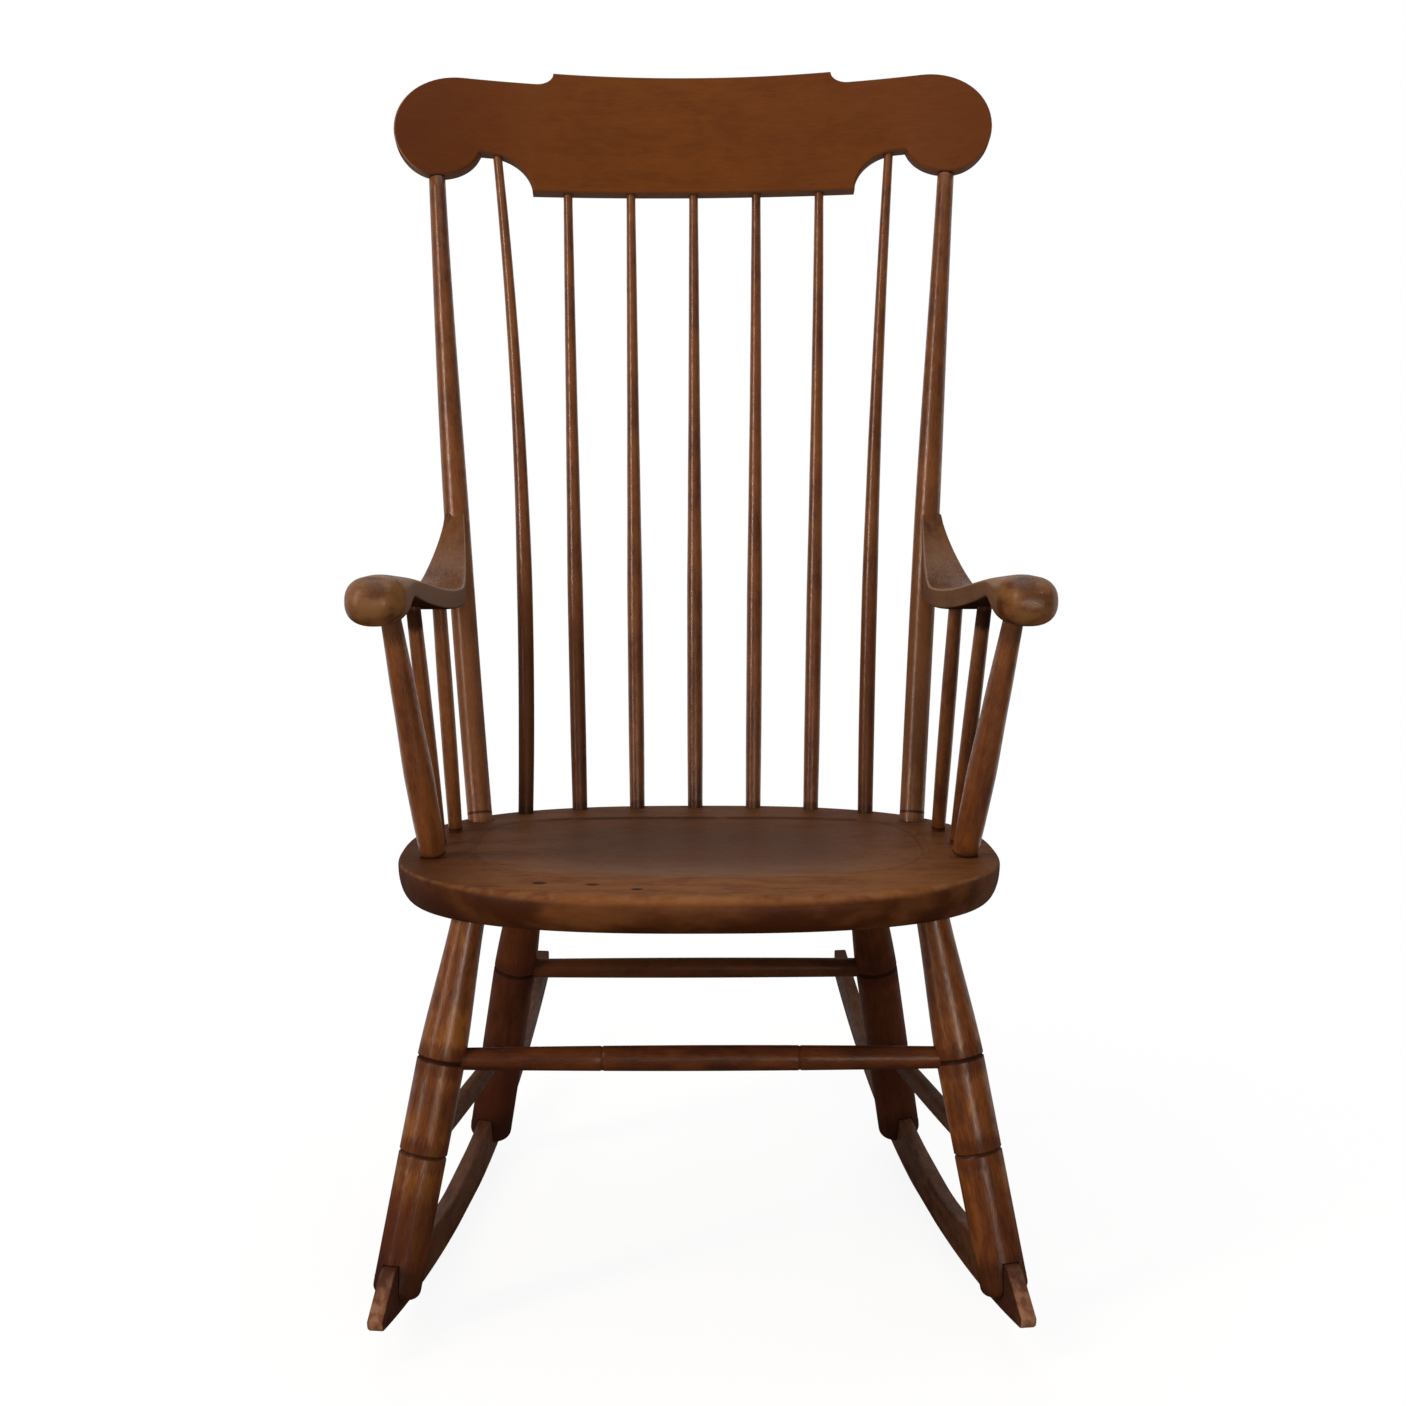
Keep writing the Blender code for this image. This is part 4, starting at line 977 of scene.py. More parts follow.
@dataclass
class SeatPlank(SubAssembly):
    """The plank seat: a crisp upper edge over a full round, and a dished sitting area."""

    height: float = 0.375
    slope: float = 4.9
    half_width: float = 0.2665
    front_reach: float = 0.231
    back_reach: float = 0.270
    front_power: float = 2.56
    back_power: float = 2.6
    thickness: float = 0.034
    top_round: float = 0.004
    front_round: float = 0.011
    undercut: float = 0.022
    side_share: float = 0.6
    dish_side_rim: float = 0.0615
    dish_front_rim: float = 0.090
    dish_back_rim: float = 0.079
    dish_front_power: float = 2.5
    dish_back_power: float = 4.0
    dish_lip: float = 0.0015
    dish_depth: float = 0.009
    dish_shares: tuple[float, ...] = (0.95, 0.9, 0.83, 0.75, 0.66, 0.56, 0.45, 0.33, 0.2, 0.08)
    groove: tuple[Point3, ...] = ((1.028, 0.0, 0.0), (1.017, 0.0, 0.9), (1.003, 0.0007, 1.0),
                                  (0.992, 0.0019, 1.0), (0.984, 0.0016, 0.9), (0.974, 0.0017, 0.0))
    dents: tuple[Point2, ...] = ((-0.135, -0.166), (-0.091, -0.173), (-0.053, -0.195))
    flats: Point2 = (0.006, 0.003)
    soft_run: Point2 = (0.62, 0.36)
    dish_tint: float = 0.25
    worn_angle: Point2 = (55.0, 45.0)
    round_steps: tuple[int, int] = (13, 9)
    sides: int = 176
    frame: Matrix = field(init=False)
    shift: float = field(init=False)

    def __post_init__(self) -> None:
        """Find the seat's frame from the place of its node."""
        tilt = Matrix.Rotation(-math.radians(self.slope), 4, "X")
        level = Matrix.Translation((0, 0, self.height)) @ tilt
        front = level @ Vector((0, -self.front_reach, -self.top_round))
        self.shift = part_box("seat")[0].y - front.y
        self.frame = Matrix.Translation((0, self.shift, 0)) @ level

    def half_width_at(self, y: float) -> float:
        """Half the seat's width on a line across it.

        Args:
            y: The line's distance behind the middle.

        Returns:
            The half width.
        """
        front, back = (self.front_reach, self.front_power), (self.back_reach, self.back_power)
        reach, power = back if y > 0 else front
        return self.half_width * (1 - (abs(y) / reach) ** power) ** (1 / power)

    def _oval(self, half_width: float, front: float, back: float, powers: Point2) -> list[Point2]:
        """The points of a squared oval about its middle.

        Args:
            half_width: Half its width.
            front: Its reach to the front.
            back: Its reach to the back.
            powers: How square it is in front and behind.

        Returns:
            The points.
        """
        points = []
        for i in range(self.sides):
            angle = math.tau * i / self.sides
            reach, power = (back, powers[1]) if math.sin(angle) > 0 else (front, powers[0])
            across, along = abs(math.cos(angle)) / half_width, abs(math.sin(angle)) / reach
            radius = (across ** power + along ** power) ** (-1 / power)
            points.append((radius * math.cos(angle), radius * math.sin(angle)))
        return points

    def _ring(self, places: Sequence[Vector], zone: Zone) -> Ring:
        """A section of the seat, whose boards run from side to side."""
        return Ring([self.frame @ place for place in places], [place.yzx for place in places], zone)

    def _edge(self, inset: float) -> list[Point2]:
        """The outline moved in.

        Args:
            inset: How far, in front and behind.

        Returns:
            Its points.
        """
        side = self.half_width - inset * self.side_share
        return self._oval(side, self.front_reach - inset, self.back_reach - inset,
                          (self.front_power, self.back_power))

    def _rim(self, place: Callable[[float], Point2], wear: float = 0.0) -> Ring:
        """A section round the rim, whose upper edge is rounded more in the middle of the front.

        Args:
            place: The section's inset and height for a rounding of the upper edge.
            wear: How worn it is.

        Returns:
            The section.
        """
        (hard, high), (soft, low) = place(self.top_round), place(self.front_round)
        places = []
        for (x, y), (soft_x, soft_y) in zip(self._edge(hard), self._edge(soft)):
            share = ease((-y / self.front_reach - self.soft_run[0]) / self.soft_run[1])
            places.append(Vector((mix(x, soft_x, share), mix(y, soft_y, share), mix(high, low, share))))
        return self._ring(places, (0.0, wear, 0.0))

    def _dish(self, share: float, height: float, zone: Zone) -> Ring:
        """A section of the dish.

        Args:
            share: The share of the dish's size that it is drawn in to.
            height: Its height.
            zone: Its shares of dish, wear and groove.

        Returns:
            The section.
        """
        front, back = self.front_reach - self.dish_front_rim, self.back_reach - self.dish_back_rim
        middle = (back - front) / 2
        oval = self._oval(self.half_width - self.dish_side_rim, front + middle, back - middle,
                          (self.dish_front_power, self.dish_back_power))
        return self._ring([Vector((x * share, y * share + middle, height)) for x, y in oval], zone)

    def build(self) -> None:
        """Carve the seat from its underside, round its edge, and in to the middle of the dish."""
        rings = [self._rim(lambda _: (self.undercut + self.flats[0], -self.thickness))]
        for angle in spread(90, 0, self.round_steps[0]):
            in_share, low_share = 1 - math.cos(math.radians(angle)), math.sin(math.radians(angle))
            rings.append(self._rim(lambda rounding: (
                self.undercut * in_share, -rounding - (self.thickness - rounding) * low_share)))
        for angle in spread(10, 90, self.round_steps[1]):
            in_share, low_share = 1 - math.cos(math.radians(angle)), 1 - math.sin(math.radians(angle))
            wear = ease(1 - abs(angle - self.worn_angle[0]) / self.worn_angle[1])
            rings.append(self._rim(lambda rounding: (rounding * in_share, -rounding * low_share), wear))
        rings.append(self._rim(lambda rounding: (rounding + self.flats[1], 0.0)))
        for share, drop, dark in self.groove:
            rings.append(self._dish(share, -drop, (self.dish_tint if share < 1 else 0.0, 0.0, dark)))
        for share in self.dish_shares:
            drop = self.dish_lip + (self.dish_depth - self.dish_lip) * (1 - share ** 2)
            tint = mix(1.0, self.dish_tint, ease((share - 0.5) / 0.5))
            rings.append(self._dish(share, -drop, (tint, 0.0, 0.0)))
        dents = tuple(tuple(self.frame @ Vector((x, y, 0.0))) for x, y in self.dents)
        plank = self.bench.carve("plank_seat", rings)
        self.bench.deliver(plank, "seat", Slot.WORN, replace(PLANK, dents=dents))


@dataclass(frozen=True)
class Bend:
    """A bent stick's line from the seat up to the crest rail, in the seat's frame."""

    foot: Vector
    head: Vector
    bow: Vector

    @property
    def length(self) -> float:
        """The straight distance from foot to head."""
        return (self.head - self.foot).length

    def rate(self, share: float) -> Vector:
        """The line's direction a share of the way up, as long as the line."""
        return self.head - self.foot - self.bow * (4 - 8 * min(max(share, 0.0), 1.0))

    def at(self, share: float) -> Vector:
        """A point of the line, which runs straight on beyond its ends.

        Args:
            share: The share of the way up.

        Returns:
            The point.
        """
        inner = min(max(share, 0.0), 1.0)
        bowed = self.foot.lerp(self.head, inner) - self.bow * (4 * inner * (1 - inner))
        return bowed + self.rate(inner) * (share - inner)

    def placing(self, frame: Matrix) -> Placing:
        """The placing that bends a piece turned on Z along the line.

        Args:
            frame: The frame that the line is given in.

        Returns:
            The placing of the piece's points.
        """
        def place(point: Vector) -> Vector:
            """Bend one point.

            Args:
                point: The point as it left the lathe.

            Returns:
                Its place.
            """
            share = point.z / self.length
            way = self.rate(share).normalized()
            across = (Vector((1, 0, 0)) - way * way.x).normalized()
            return frame @ (self.at(share) + across * point.x + way.cross(across) * point.y)
        return place


@dataclass
class Back(SubAssembly):
    """Two bent posts and seven bent spindles under a bowed crest rail."""

    seat: SeatPlank
    socket: float = 0.020
    post_foot: Point2 = (0.0575, 0.096)
    post_diameters: Point3 = (0.024, 0.025, 0.0168)
    post_tenon: Point2 = (0.011, 0.020)
    post_gap: float = 0.0012
    post_bend: float = 0.013
    post_sway: float = 0.002
    post_full: float = 0.291
    post_edges: Point2 = (0.0004, 0.0012)
    post_points: int = 48
    post_sides: int = 36
    post_marks: tuple[Mark, ...] = (Mark(0.150, 0.090, DRAB, 0.5), Mark(0.007, 0.0014, BLACK, 0.7),
                                    Mark(0.0025, 0.0025, PALE, 0.25))
    steps: int = 3
    feet: tuple[float, ...] = (0.0, 0.058, 0.1150, 0.1675)
    edge: float = 0.0128
    spindle_stops: tuple[Point2, ...] = ((0.0, 0.0148), (0.12, 0.0156), (0.34, 0.0156), (0.5, 0.0136),
                                         (0.67, 0.0118), (0.84, 0.0105), (1.0, 0.0092))
    spindle_bend: float = 0.014
    spindle_tenon: float = 0.014
    spindle_points: int = 44
    spindle_sides: int = 28
    spindle_mark: Mark = Mark(0.002, 0.005, BLACK, 0.45)
    # How far up the painted shade on the lower part of the outer spindles reaches.
    stain_reach: float = 0.24
    outer_flares: Point2 = (0.005, 0.0105)
    outer_cove: float = 0.802
    # How strong that painted shade is on each spindle.
    stained: tuple[float, ...] = (0.75, 0.6, 0.1, 0.0, 0.0, 0.15, 0.55)
    crest_rise: float = 0.618
    crest_setback: float = 0.1565
    crest_tilt: float = 17.0
    crest_lean: float = 0.6
    crest_bow: float = 0.98
    crest_thickness: float = 0.018
    crest_half: float = 0.3055
    crest_height: float = 0.1275
    top_half: float = 0.1445
    top_hollow: float = 0.001
    step: Point2 = (0.018, 0.0127)
    bottom_half: float = 0.166
    bottom_fall: float = 0.003
    cove: Point2 = (0.045, 0.0360)
    cusp: float = 0.008
    scroll: Point2 = (0.0685, 0.040)
    scroll_turn: Point2 = (0.0483, 0.040)
    scroll_levels: Point3 = (0.0073, 0.053, 0.1160)
    post_insets: Point2 = (0.0467, 0.0427)
    pin_place: Point2 = (0.260, 0.0115)
    crest_pitch: float = 0.065
    crest_rounding: float = 0.0024
    crest_slices: int = 77
    slice_inset: float = 0.004
    edge_start: float = 0.02
    edge_points: int = 8
    pin: Point2 = (0.003, 0.010)

    def row_y(self, x: float) -> float:
        """A spindle's foot on the seat's back outline, moved in by the edge."""
        across = (x / (self.seat.half_width - self.edge)) ** self.seat.back_power
        return (self.seat.back_reach - self.edge) * (1 - across) ** (1 / self.seat.back_power)

    def bowed(self, u: float) -> float:
        """How far back the crest rail's middle lies at a distance from its centre."""
        return math.sqrt(self.crest_bow ** 2 - u ** 2) - self.crest_bow

    @property
    def crest_frame(self) -> Matrix:
        """The crest rail's frame in the seat's.

        Returns:
            The frame, with Y to the back through the rail's face and Z up its face.
        """
        place = Matrix.Translation((0, self.row_y(0) + self.crest_setback, self.crest_rise))
        tilt = Matrix.Rotation(-math.radians(self.crest_tilt), 4, "X")
        return place @ tilt @ Matrix.Rotation(-math.radians(self.crest_lean), 4, "Y")

    def on_crest(self, u: float, height: float, depth: float = 0.0) -> Vector:
        """A point of the crest rail in the seat's frame, behind the middle of its thickness."""
        return self.crest_frame @ Vector((u, self.bowed(u) + depth, height))

    def post(self, side: Side = Side.LEFT) -> Bend:
        """A post's line.

        Args:
            side: The post's side.

        Returns:
            The line, without its sway.
        """
        inward, forward = self.post_foot
        foot = Vector((self.seat.half_width - inward, self.seat.back_reach - forward, 0))
        inset = self.post_insets[side is Side.RIGHT]
        head = self.on_crest((self.crest_half - inset) * side.value, self.scroll_levels[0])
        return Bend(side.turn(foot), head, Vector((0, self.post_bend, 0)))

    def spindle(self, side: Side, steps: int) -> Bend:
        """A spindle's line.

        Args:
            side: The spindle's side.
            steps: How many steps it stands from the middle.

        Returns:
            The line.
        """
        x = self.feet[steps]
        foot = side.turn(Vector((x, self.row_y(x), 0)))
        if steps < self.steps:
            head = self.on_crest(steps * self.crest_pitch * side.value, 0.0)
            return Bend(foot, head, Vector((0, self.spindle_bend, 0)))
        u = self.bottom_half + self.cove[0] * self.outer_cove
        head = self.on_crest(u * side.value, self.cove[1])
        flare = self.outer_flares[side is Side.RIGHT]
        return Bend(foot, head, side.turn(Vector((flare, self.spindle_bend, 0))))

    def crest_outline(self) -> list[Point2]:
        """Stepped top, round scroll ends and coves down to the bottom edge.

        Returns:
            The outline's points.
        """
        high_u, low_u = (self.crest_half - reach for reach in self.scroll)
        low, middle, high = self.scroll_levels
        neck = self.top_half + self.step[0], self.crest_height + self.top_hollow
        cove = self.bottom_half + self.cove[0], -self.bottom_fall
        half = [(u, self.crest_height + self.top_hollow * (u / self.top_half) ** 2)
                for u in spread(self.edge_start, self.top_half, self.edge_points)[:-1]]
        half += arc(neck, self.step, (180, 270), 10)
        half += arc((high_u, middle), (self.scroll[0], high - middle), (90, 0), 18)
        half += arc((low_u, middle), (self.scroll[1], middle - low), (0, -90), 18)[1:]
        half += arc((low_u, low + self.scroll_turn[1]), self.scroll_turn, (-90, -160), 14)[1:]
        half.append((cove[0] + self.cusp, self.cove[1]))
        half += arc(cove, (self.cove[0], self.cove[1] + self.bottom_fall), (90, 180), 16)
        half += [(u, -self.bottom_fall * (u / self.bottom_half) ** 2)
                 for u in spread(self.bottom_half, self.edge_start, self.edge_points)[1:]]
        return half + [(-u, v) for u, v in reversed(half)]

    def build(self) -> None:
        """Make the crest rail, the posts, the spindles and the pins."""
        self._build_crest()
        for side in Side:
            self._build_post(side)
            self._build_pin(side)
        for number, steps in enumerate(range(-self.steps, self.steps + 1), start=1):
            self._build_spindle(number, steps)

    def _build_crest(self) -> None:
        """Saw the crest rail, round it over and bow it."""
        end = self.crest_half - self.slice_inset
        slices = spread(-end, end, self.crest_slices)
        board = self.bench.saw("crest_board", self.crest_outline(), self.crest_thickness,
                               self.crest_rounding, slices)
        self.bench.set_in(board, lambda p: self.seat.frame @ self.on_crest(p.x, p.y, -p.z), on_x=True)
        self.bench.deliver(board, "crest_rail", Slot.MAPLE, CREST)

    def _build_post(self, side: Side) -> None:
        """Turn a post with its shouldered tenon and bend it.

        Args:
            side: Its side.
        """
        straight = self.post(side)
        line = replace(straight, bow=straight.bow + Vector((self.post_sway, 0, 0)))
        foot, full, top = (diameter / 2 for diameter in self.post_diameters)
        arm = line.length * self.post_full / line.head.z
        shoulder, tenon = line.length - self.post_gap, self.post_tenon[0] / 2
        fine, edge = self.post_edges
        stops = ((0.0, foot), (arm, full), (shoulder, top))
        heights = [-self.socket, *spread(0.0, shoulder - edge, self.post_points)]
        profile = [(height, follow(stops, height)) for height in heights]
        profile += [(shoulder - fine, top - fine), (shoulder, top - edge), (shoulder, tenon)]
        profile.append((line.length + self.post_tenon[1], tenon))
        post = self.bench.turn(f"bent_post_{side.word}", profile, self.post_sides)
        self.bench.set_in(post, line.placing(self.seat.frame))
        finish = replace(ROD, name="post_wood", marks=self.post_marks)
        self.bench.deliver(post, f"back_post_{side.word}", Slot.MAPLE, finish)

    def _build_spindle(self, number: int, steps: int) -> None:
        """Turn a spindle and bend it.

        Args:
            number: Its number in the row.
            steps: How many steps it stands to the left of the middle.
        """
        line = self.spindle(Side.RIGHT if steps < 0 else Side.LEFT, abs(steps))
        heights = [-self.socket, *spread(0.0, line.length, self.spindle_points)]
        heights.append(line.length + self.spindle_tenon)
        profile = [(height, follow(self.spindle_stops, height / line.length) / 2) for height in heights]
        spindle = self.bench.turn(f"bent_spindle_{number}", profile, self.spindle_sides)
        self.bench.set_in(spindle, line.placing(self.seat.frame))
        # Painted shade on the lower part of the spindle.
        low_shade = Mark(0.0, self.stain_reach, UMBER, self.stained[number - 1])
        finish = replace(ROD, name=f"spindle_{number}_wood", marks=(low_shade, self.spindle_mark))
        self.bench.deliver(spindle, f"back_spindle_{number}", Slot.MAPLE, finish)

    def _build_pin(self, side: Side) -> None:
        """Turn the pin that locks a post's tenon, from the crest rail's back inwards.

        Args:
            side: Its side.
        """
        u, height = self.pin_place[0] * side.value, self.pin_place[1]
        depths = self.crest_thickness / 2, self.crest_thickness / 2 - self.pin[1]
        ends = [self.seat.frame @ self.on_crest(u, height, depth) for depth in depths]
        pin = self.bench.turn_pin(f"locking_pin_{side.word}", *ends, self.pin[0])
        self.bench.deliver(pin, f"crest_pin_{side.word}", Slot.MAPLE, PEG)


@dataclass
class Arms(SubAssembly):
    """Two arms with rolled hands, each on a turned post and two short spindles."""

    seat: SeatPlank
    back: Back
    front_y: float = -0.197
    hand_x: float = 0.268
    hand_width: float = 0.048
    hand_top: float = 0.2558
    hand_height: float = 0.0415
    hand_length: float = 0.046
    worn_length: float = 0.024
    roll: float = 0.023
    roll_share: float = 0.7
    roll_stations: tuple[float, ...] = (0.01, 0.04, 0.09, 0.16, 0.25, 0.36, 0.49, 0.64, 0.81, 1.0)
    heel: float = 0.034
    hand_power: float = 2.4
    round_length: float = 0.100
    fall: float = 0.64
    width: float = 0.046
    thickness: float = 0.0185
    dip_top: float = 0.2285
    dip_y: float = 0.135
    tip_top: float = 0.2940
    tip_setback: float = 0.0118
    narrowing: float = 1.3
    tip_width: float = 0.0205
    root_lift: float = 0.016
    overlap: float = 0.007
    setback: float = 0.002
    power: float = 10.0
    swing: float = 1.5
    sweep_power: float = 2.2
    row_inset: float = 0.0308
    hand_steps: int = 5
    heel_steps: int = 11
    even_steps: int = 14
    sweep_steps: int = 19
    sides: int = 56
    post_place: Point3 = (-0.035, -0.108, -0.006)
    post_lean: float = 0.002
    spindle_places: tuple[Point3, ...] = ((0.030, -0.025, 0.001), (0.104, 0.060, 0.010))
    post_stops: tuple[Point2, ...] = ((0.0, 0.0225), (0.16, 0.02495), (0.33, 0.026), (0.6, 0.0224),
                                      (1.0, 0.017))
    spindle_stops: tuple[Point2, ...] = ((0.0, 0.013), (0.35, 0.0142), (0.65, 0.0142), (1.0, 0.013))
    upright_points: int = 30
    upright_sides: int = 32
    seat_socket: float = 0.020
    arm_socket: float = 0.010
    foot_mark: Mark = Mark(0.004, 0.0014, BLACK, 0.7)
    front_mark: Mark = Mark(-0.009, 0.011, BLACK, 0.9)
    # A darker band at the post's top under the hand: painted shadow of the hand.
    post_mark: Mark = Mark(-0.012, 0.026, HAND_SHADOW, 0.7)
    plug: Point2 = (0.0095, 0.006)
    plug_lift: float = 0.008

    def end(self, height: float) -> Vector:
        """The arm's rear end at a height: a line along the post, just in front of its axis."""
        post = self.back.post()
        return post.at(height / post.head.z) - Vector((0, self.setback, 0))

    @property
    def root(self) -> Vector:
        """The lowest point of the arm's rear end."""
        return self.end(self.dip_top - self.thickness + self.root_lift)

    @property
    def tip(self) -> Vector:
        """The arm's highest point, feathered on the front of the post."""
        return self.end(self.tip_top) - Vector((0, self.tip_setback - self.setback, 0))

    def past_dip(self, y: float, end: Vector) -> float:
        """The share of the way from the dip to an end of the arm."""
        return max((y - self.dip_y) / (end.y - self.dip_y), 0.0)

    def past_hand(self, y: float) -> float:
        """Rise from 0 at the hand's rear end to 1 where the arm's even run begins."""
        return ease((y - self.front_y - self.hand_length) / self.heel)

    def sweep(self, y: float) -> float:
        """Rise from 0 at the dip to 1 at the tip."""
        return min(self.past_dip(y, self.tip), 1.0) ** self.sweep_power

    def top(self, y: float) -> float:
        """The height of the arm's top: level over the hand, down to the dip and up to the tip.

        Args:
            y: The distance behind the seat's middle.

        Returns:
            The height.
        """
        heel = self.front_y + self.hand_length
        past = max((y - heel) / (self.dip_y - heel), 0.0)
        run = mix(self.hand_top, self.dip_top, ease(past ** self.fall))
        return mix(run, self.tip_top, self.sweep(y))

    def bottom(self, y: float) -> float:
        """The height of the underside: low under the hand, even to the dip, up a little at the post.

        Args:
            y: The distance behind the seat's middle.

        Returns:
            The height.
        """
        even = self.top(min(y, self.dip_y)) - self.thickness
        lift = self.root_lift * self.past_dip(y, self.root) ** self.sweep_power
        return mix(self.hand_top - self.hand_height, even + lift, self.past_hand(y))

    def width_at(self, y: float) -> float:
        """The arm's width in plan."""
        drawn_in = 1 - (1 - self.sweep(y)) ** self.narrowing
        return mix(mix(self.hand_width, self.width, self.past_hand(y)), self.tip_width, drawn_in)

    def centre(self, y: float) -> float:
        """The arm's middle line in plan: in from the hand to the dip, then along the post's inner side.

        Args:
            y: The distance behind the seat's middle.

        Returns:
            The line's distance from the chair's middle.
        """
        rear_y = max(y, self.dip_y)
        rear_x = self.end(self.top(rear_y)).x - self.overlap + self.width_at(rear_y) / 2
        hand_y = self.front_y + self.hand_length / 2
        share = min(max((y - hand_y) / (self.dip_y - hand_y), 0.0), 1.0)
        return mix(rear_x, self.hand_x, (1 - share) ** self.swing)

    def _ring(self, top_y: float, bottom_y: float, side: Side, drawn: float = 1.0) -> Ring:
        """A section of the arm.

        Args:
            top_y: Where it meets the arm's top.
            bottom_y: Where it meets the underside.
            side: The arm's side.
            drawn: How far the hand's roll draws it in.

        Returns:
            The section.
        """
        top, bottom = self.top(top_y), self.bottom(bottom_y)
        squared = ease((top_y - self.front_y - self.hand_length) / self.round_length)
        power = mix(self.hand_power, self.power, squared)
        half_width = self.width_at(top_y) / 2 * mix(1, drawn, self.roll_share)
        half_height = (top - bottom) / 2 * drawn
        sway = Vector((self.back.post_sway * self.sweep(top_y), 0, 0))
        points, timber = [], []
        for i in range(self.sides):
            turn = math.tau * (i + 0.5) / self.sides
            across = math.copysign(abs(math.cos(turn)) ** (2 / power), math.cos(turn))
            rise = math.copysign(abs(math.sin(turn)) ** (2 / power), math.sin(turn))
            y = mix(bottom_y, top_y, (rise + 1) / 2)
            z = (top + bottom) / 2 + half_height * rise
            place = Vector((self.centre(top_y) + half_width * across, y, z))
            points.append(self.seat.frame @ (side.turn(place) - sway))
            run = top_y + max(top - self.dip_top, 0.0) * self.sweep(top_y)
            timber.append(Vector((half_width * across, half_height * rise, run)))
        worn = 1.0 - ease((top_y - self.front_y - self.roll) / self.worn_length)
        return Ring(points, timber, (0.0, worn, 0.0))

    def build(self) -> None:
        """Make both arms with what stands under them and what holds them."""
        for side in Side:
            self._build_arm(side)
            foot_y, top_y, inset = self.post_place
            place = foot_y, top_y, inset - self.post_lean * side.value
            self._build_support(side, f"arm_post_{side.word}", place, self.post_stops)
            for word, place in zip(("front", "rear"), self.spindle_places):
                node = f"arm_spindle_{side.word}_{word}"
                self._build_support(side, node, place, self.spindle_stops)
            self._build_plug(side)

    def _build_arm(self, side: Side) -> None:
        """Carve an arm from its hand to its tip.

        Args:
            side: Its side.
        """
        rings = []
        for share in self.roll_stations:
            y = self.front_y + self.roll * share
            rings.append(self._ring(y, y, side, math.sqrt(1 - (1 - share) ** 2)))
        heel = self.front_y + self.hand_length
        even = heel + self.heel
        stations = spread(self.front_y + self.roll, heel, self.hand_steps)[1:]
        stations += spread(heel, even, self.heel_steps)[1:]
        stations += spread(even, self.dip_y, self.even_steps)[1:]
        rings += [self._ring(y, y, side) for y in stations]
        for share in spread(0.0, 1.0, self.sweep_steps)[1:]:
            tip = mix(self.dip_y, self.tip.y, share)
            rings.append(self._ring(tip, mix(self.dip_y, self.root.y, share), side))
        arm = self.bench.carve(f"carved_arm_{side.word}", rings)
        self.bench.deliver(arm, f"arm_{side.word}", Slot.WORN, ARM)

    def _build_support(self, side: Side, node: str, place: Point3, stops: Sequence[Point2]) -> None:
        """Turn an upright from the seat to the arm.

        Args:
            side: Its side.
            node: The node that it replaces.
            place: Its foot's and its top's Y, and its top's distance in from the arm's middle line.
            stops: Its diameters by share of its height.
        """
        foot_y, top_y, inset = place
        low = Vector((self.seat.half_width_at(foot_y) - self.row_inset, foot_y, 0))
        high = Vector((self.centre(top_y) - inset, top_y, self.bottom(top_y)))
        foot, head = (self.seat.frame @ side.turn(point) for point in (low, high))
        length = (head - foot).length
        heights = [-self.seat_socket, *spread(0.0, length, self.upright_points), length + self.arm_socket]
        profile = [(height, follow(stops, height / length) / 2) for height in heights]
        upright = self.bench.turn_along("turned_" + node, profile, self.upright_sides, foot, head)
        marks = [self.foot_mark]
        if node.endswith("front"):
            marks.append(self.front_mark.moved(length))
        elif "post" in node:
            # The arm post's top takes the painted shadow of the hand.
            marks.append(self.post_mark.moved(length))
        finish = replace(ROD, name="upright_wood", marks=tuple(marks))
        self.bench.deliver(upright, node, Slot.MAPLE, finish)

    def _build_plug(self, side: Side) -> None:
        """Turn the plug over an arm's screw.

        Args:
            side: Its side.
        """
        post = self.back.post(side)
        middle = post.at((self.dip_top + self.plug_lift) / post.head.z)
        behind = self.back.post_diameters[1] / 2 / math.cos(math.radians(self.back.crest_tilt))
        start = middle + Vector((0, behind, 0))
        ends = [self.seat.frame @ (start - Vector((0, depth, 0))) for depth in (0.0, self.plug[1])]
        plug = self.bench.turn_pin(f"turned_plug_{side.word}", *ends, self.plug[0])
        self.bench.deliver(plug, f"arm_plug_{side.word}", Slot.MAPLE, PEG)


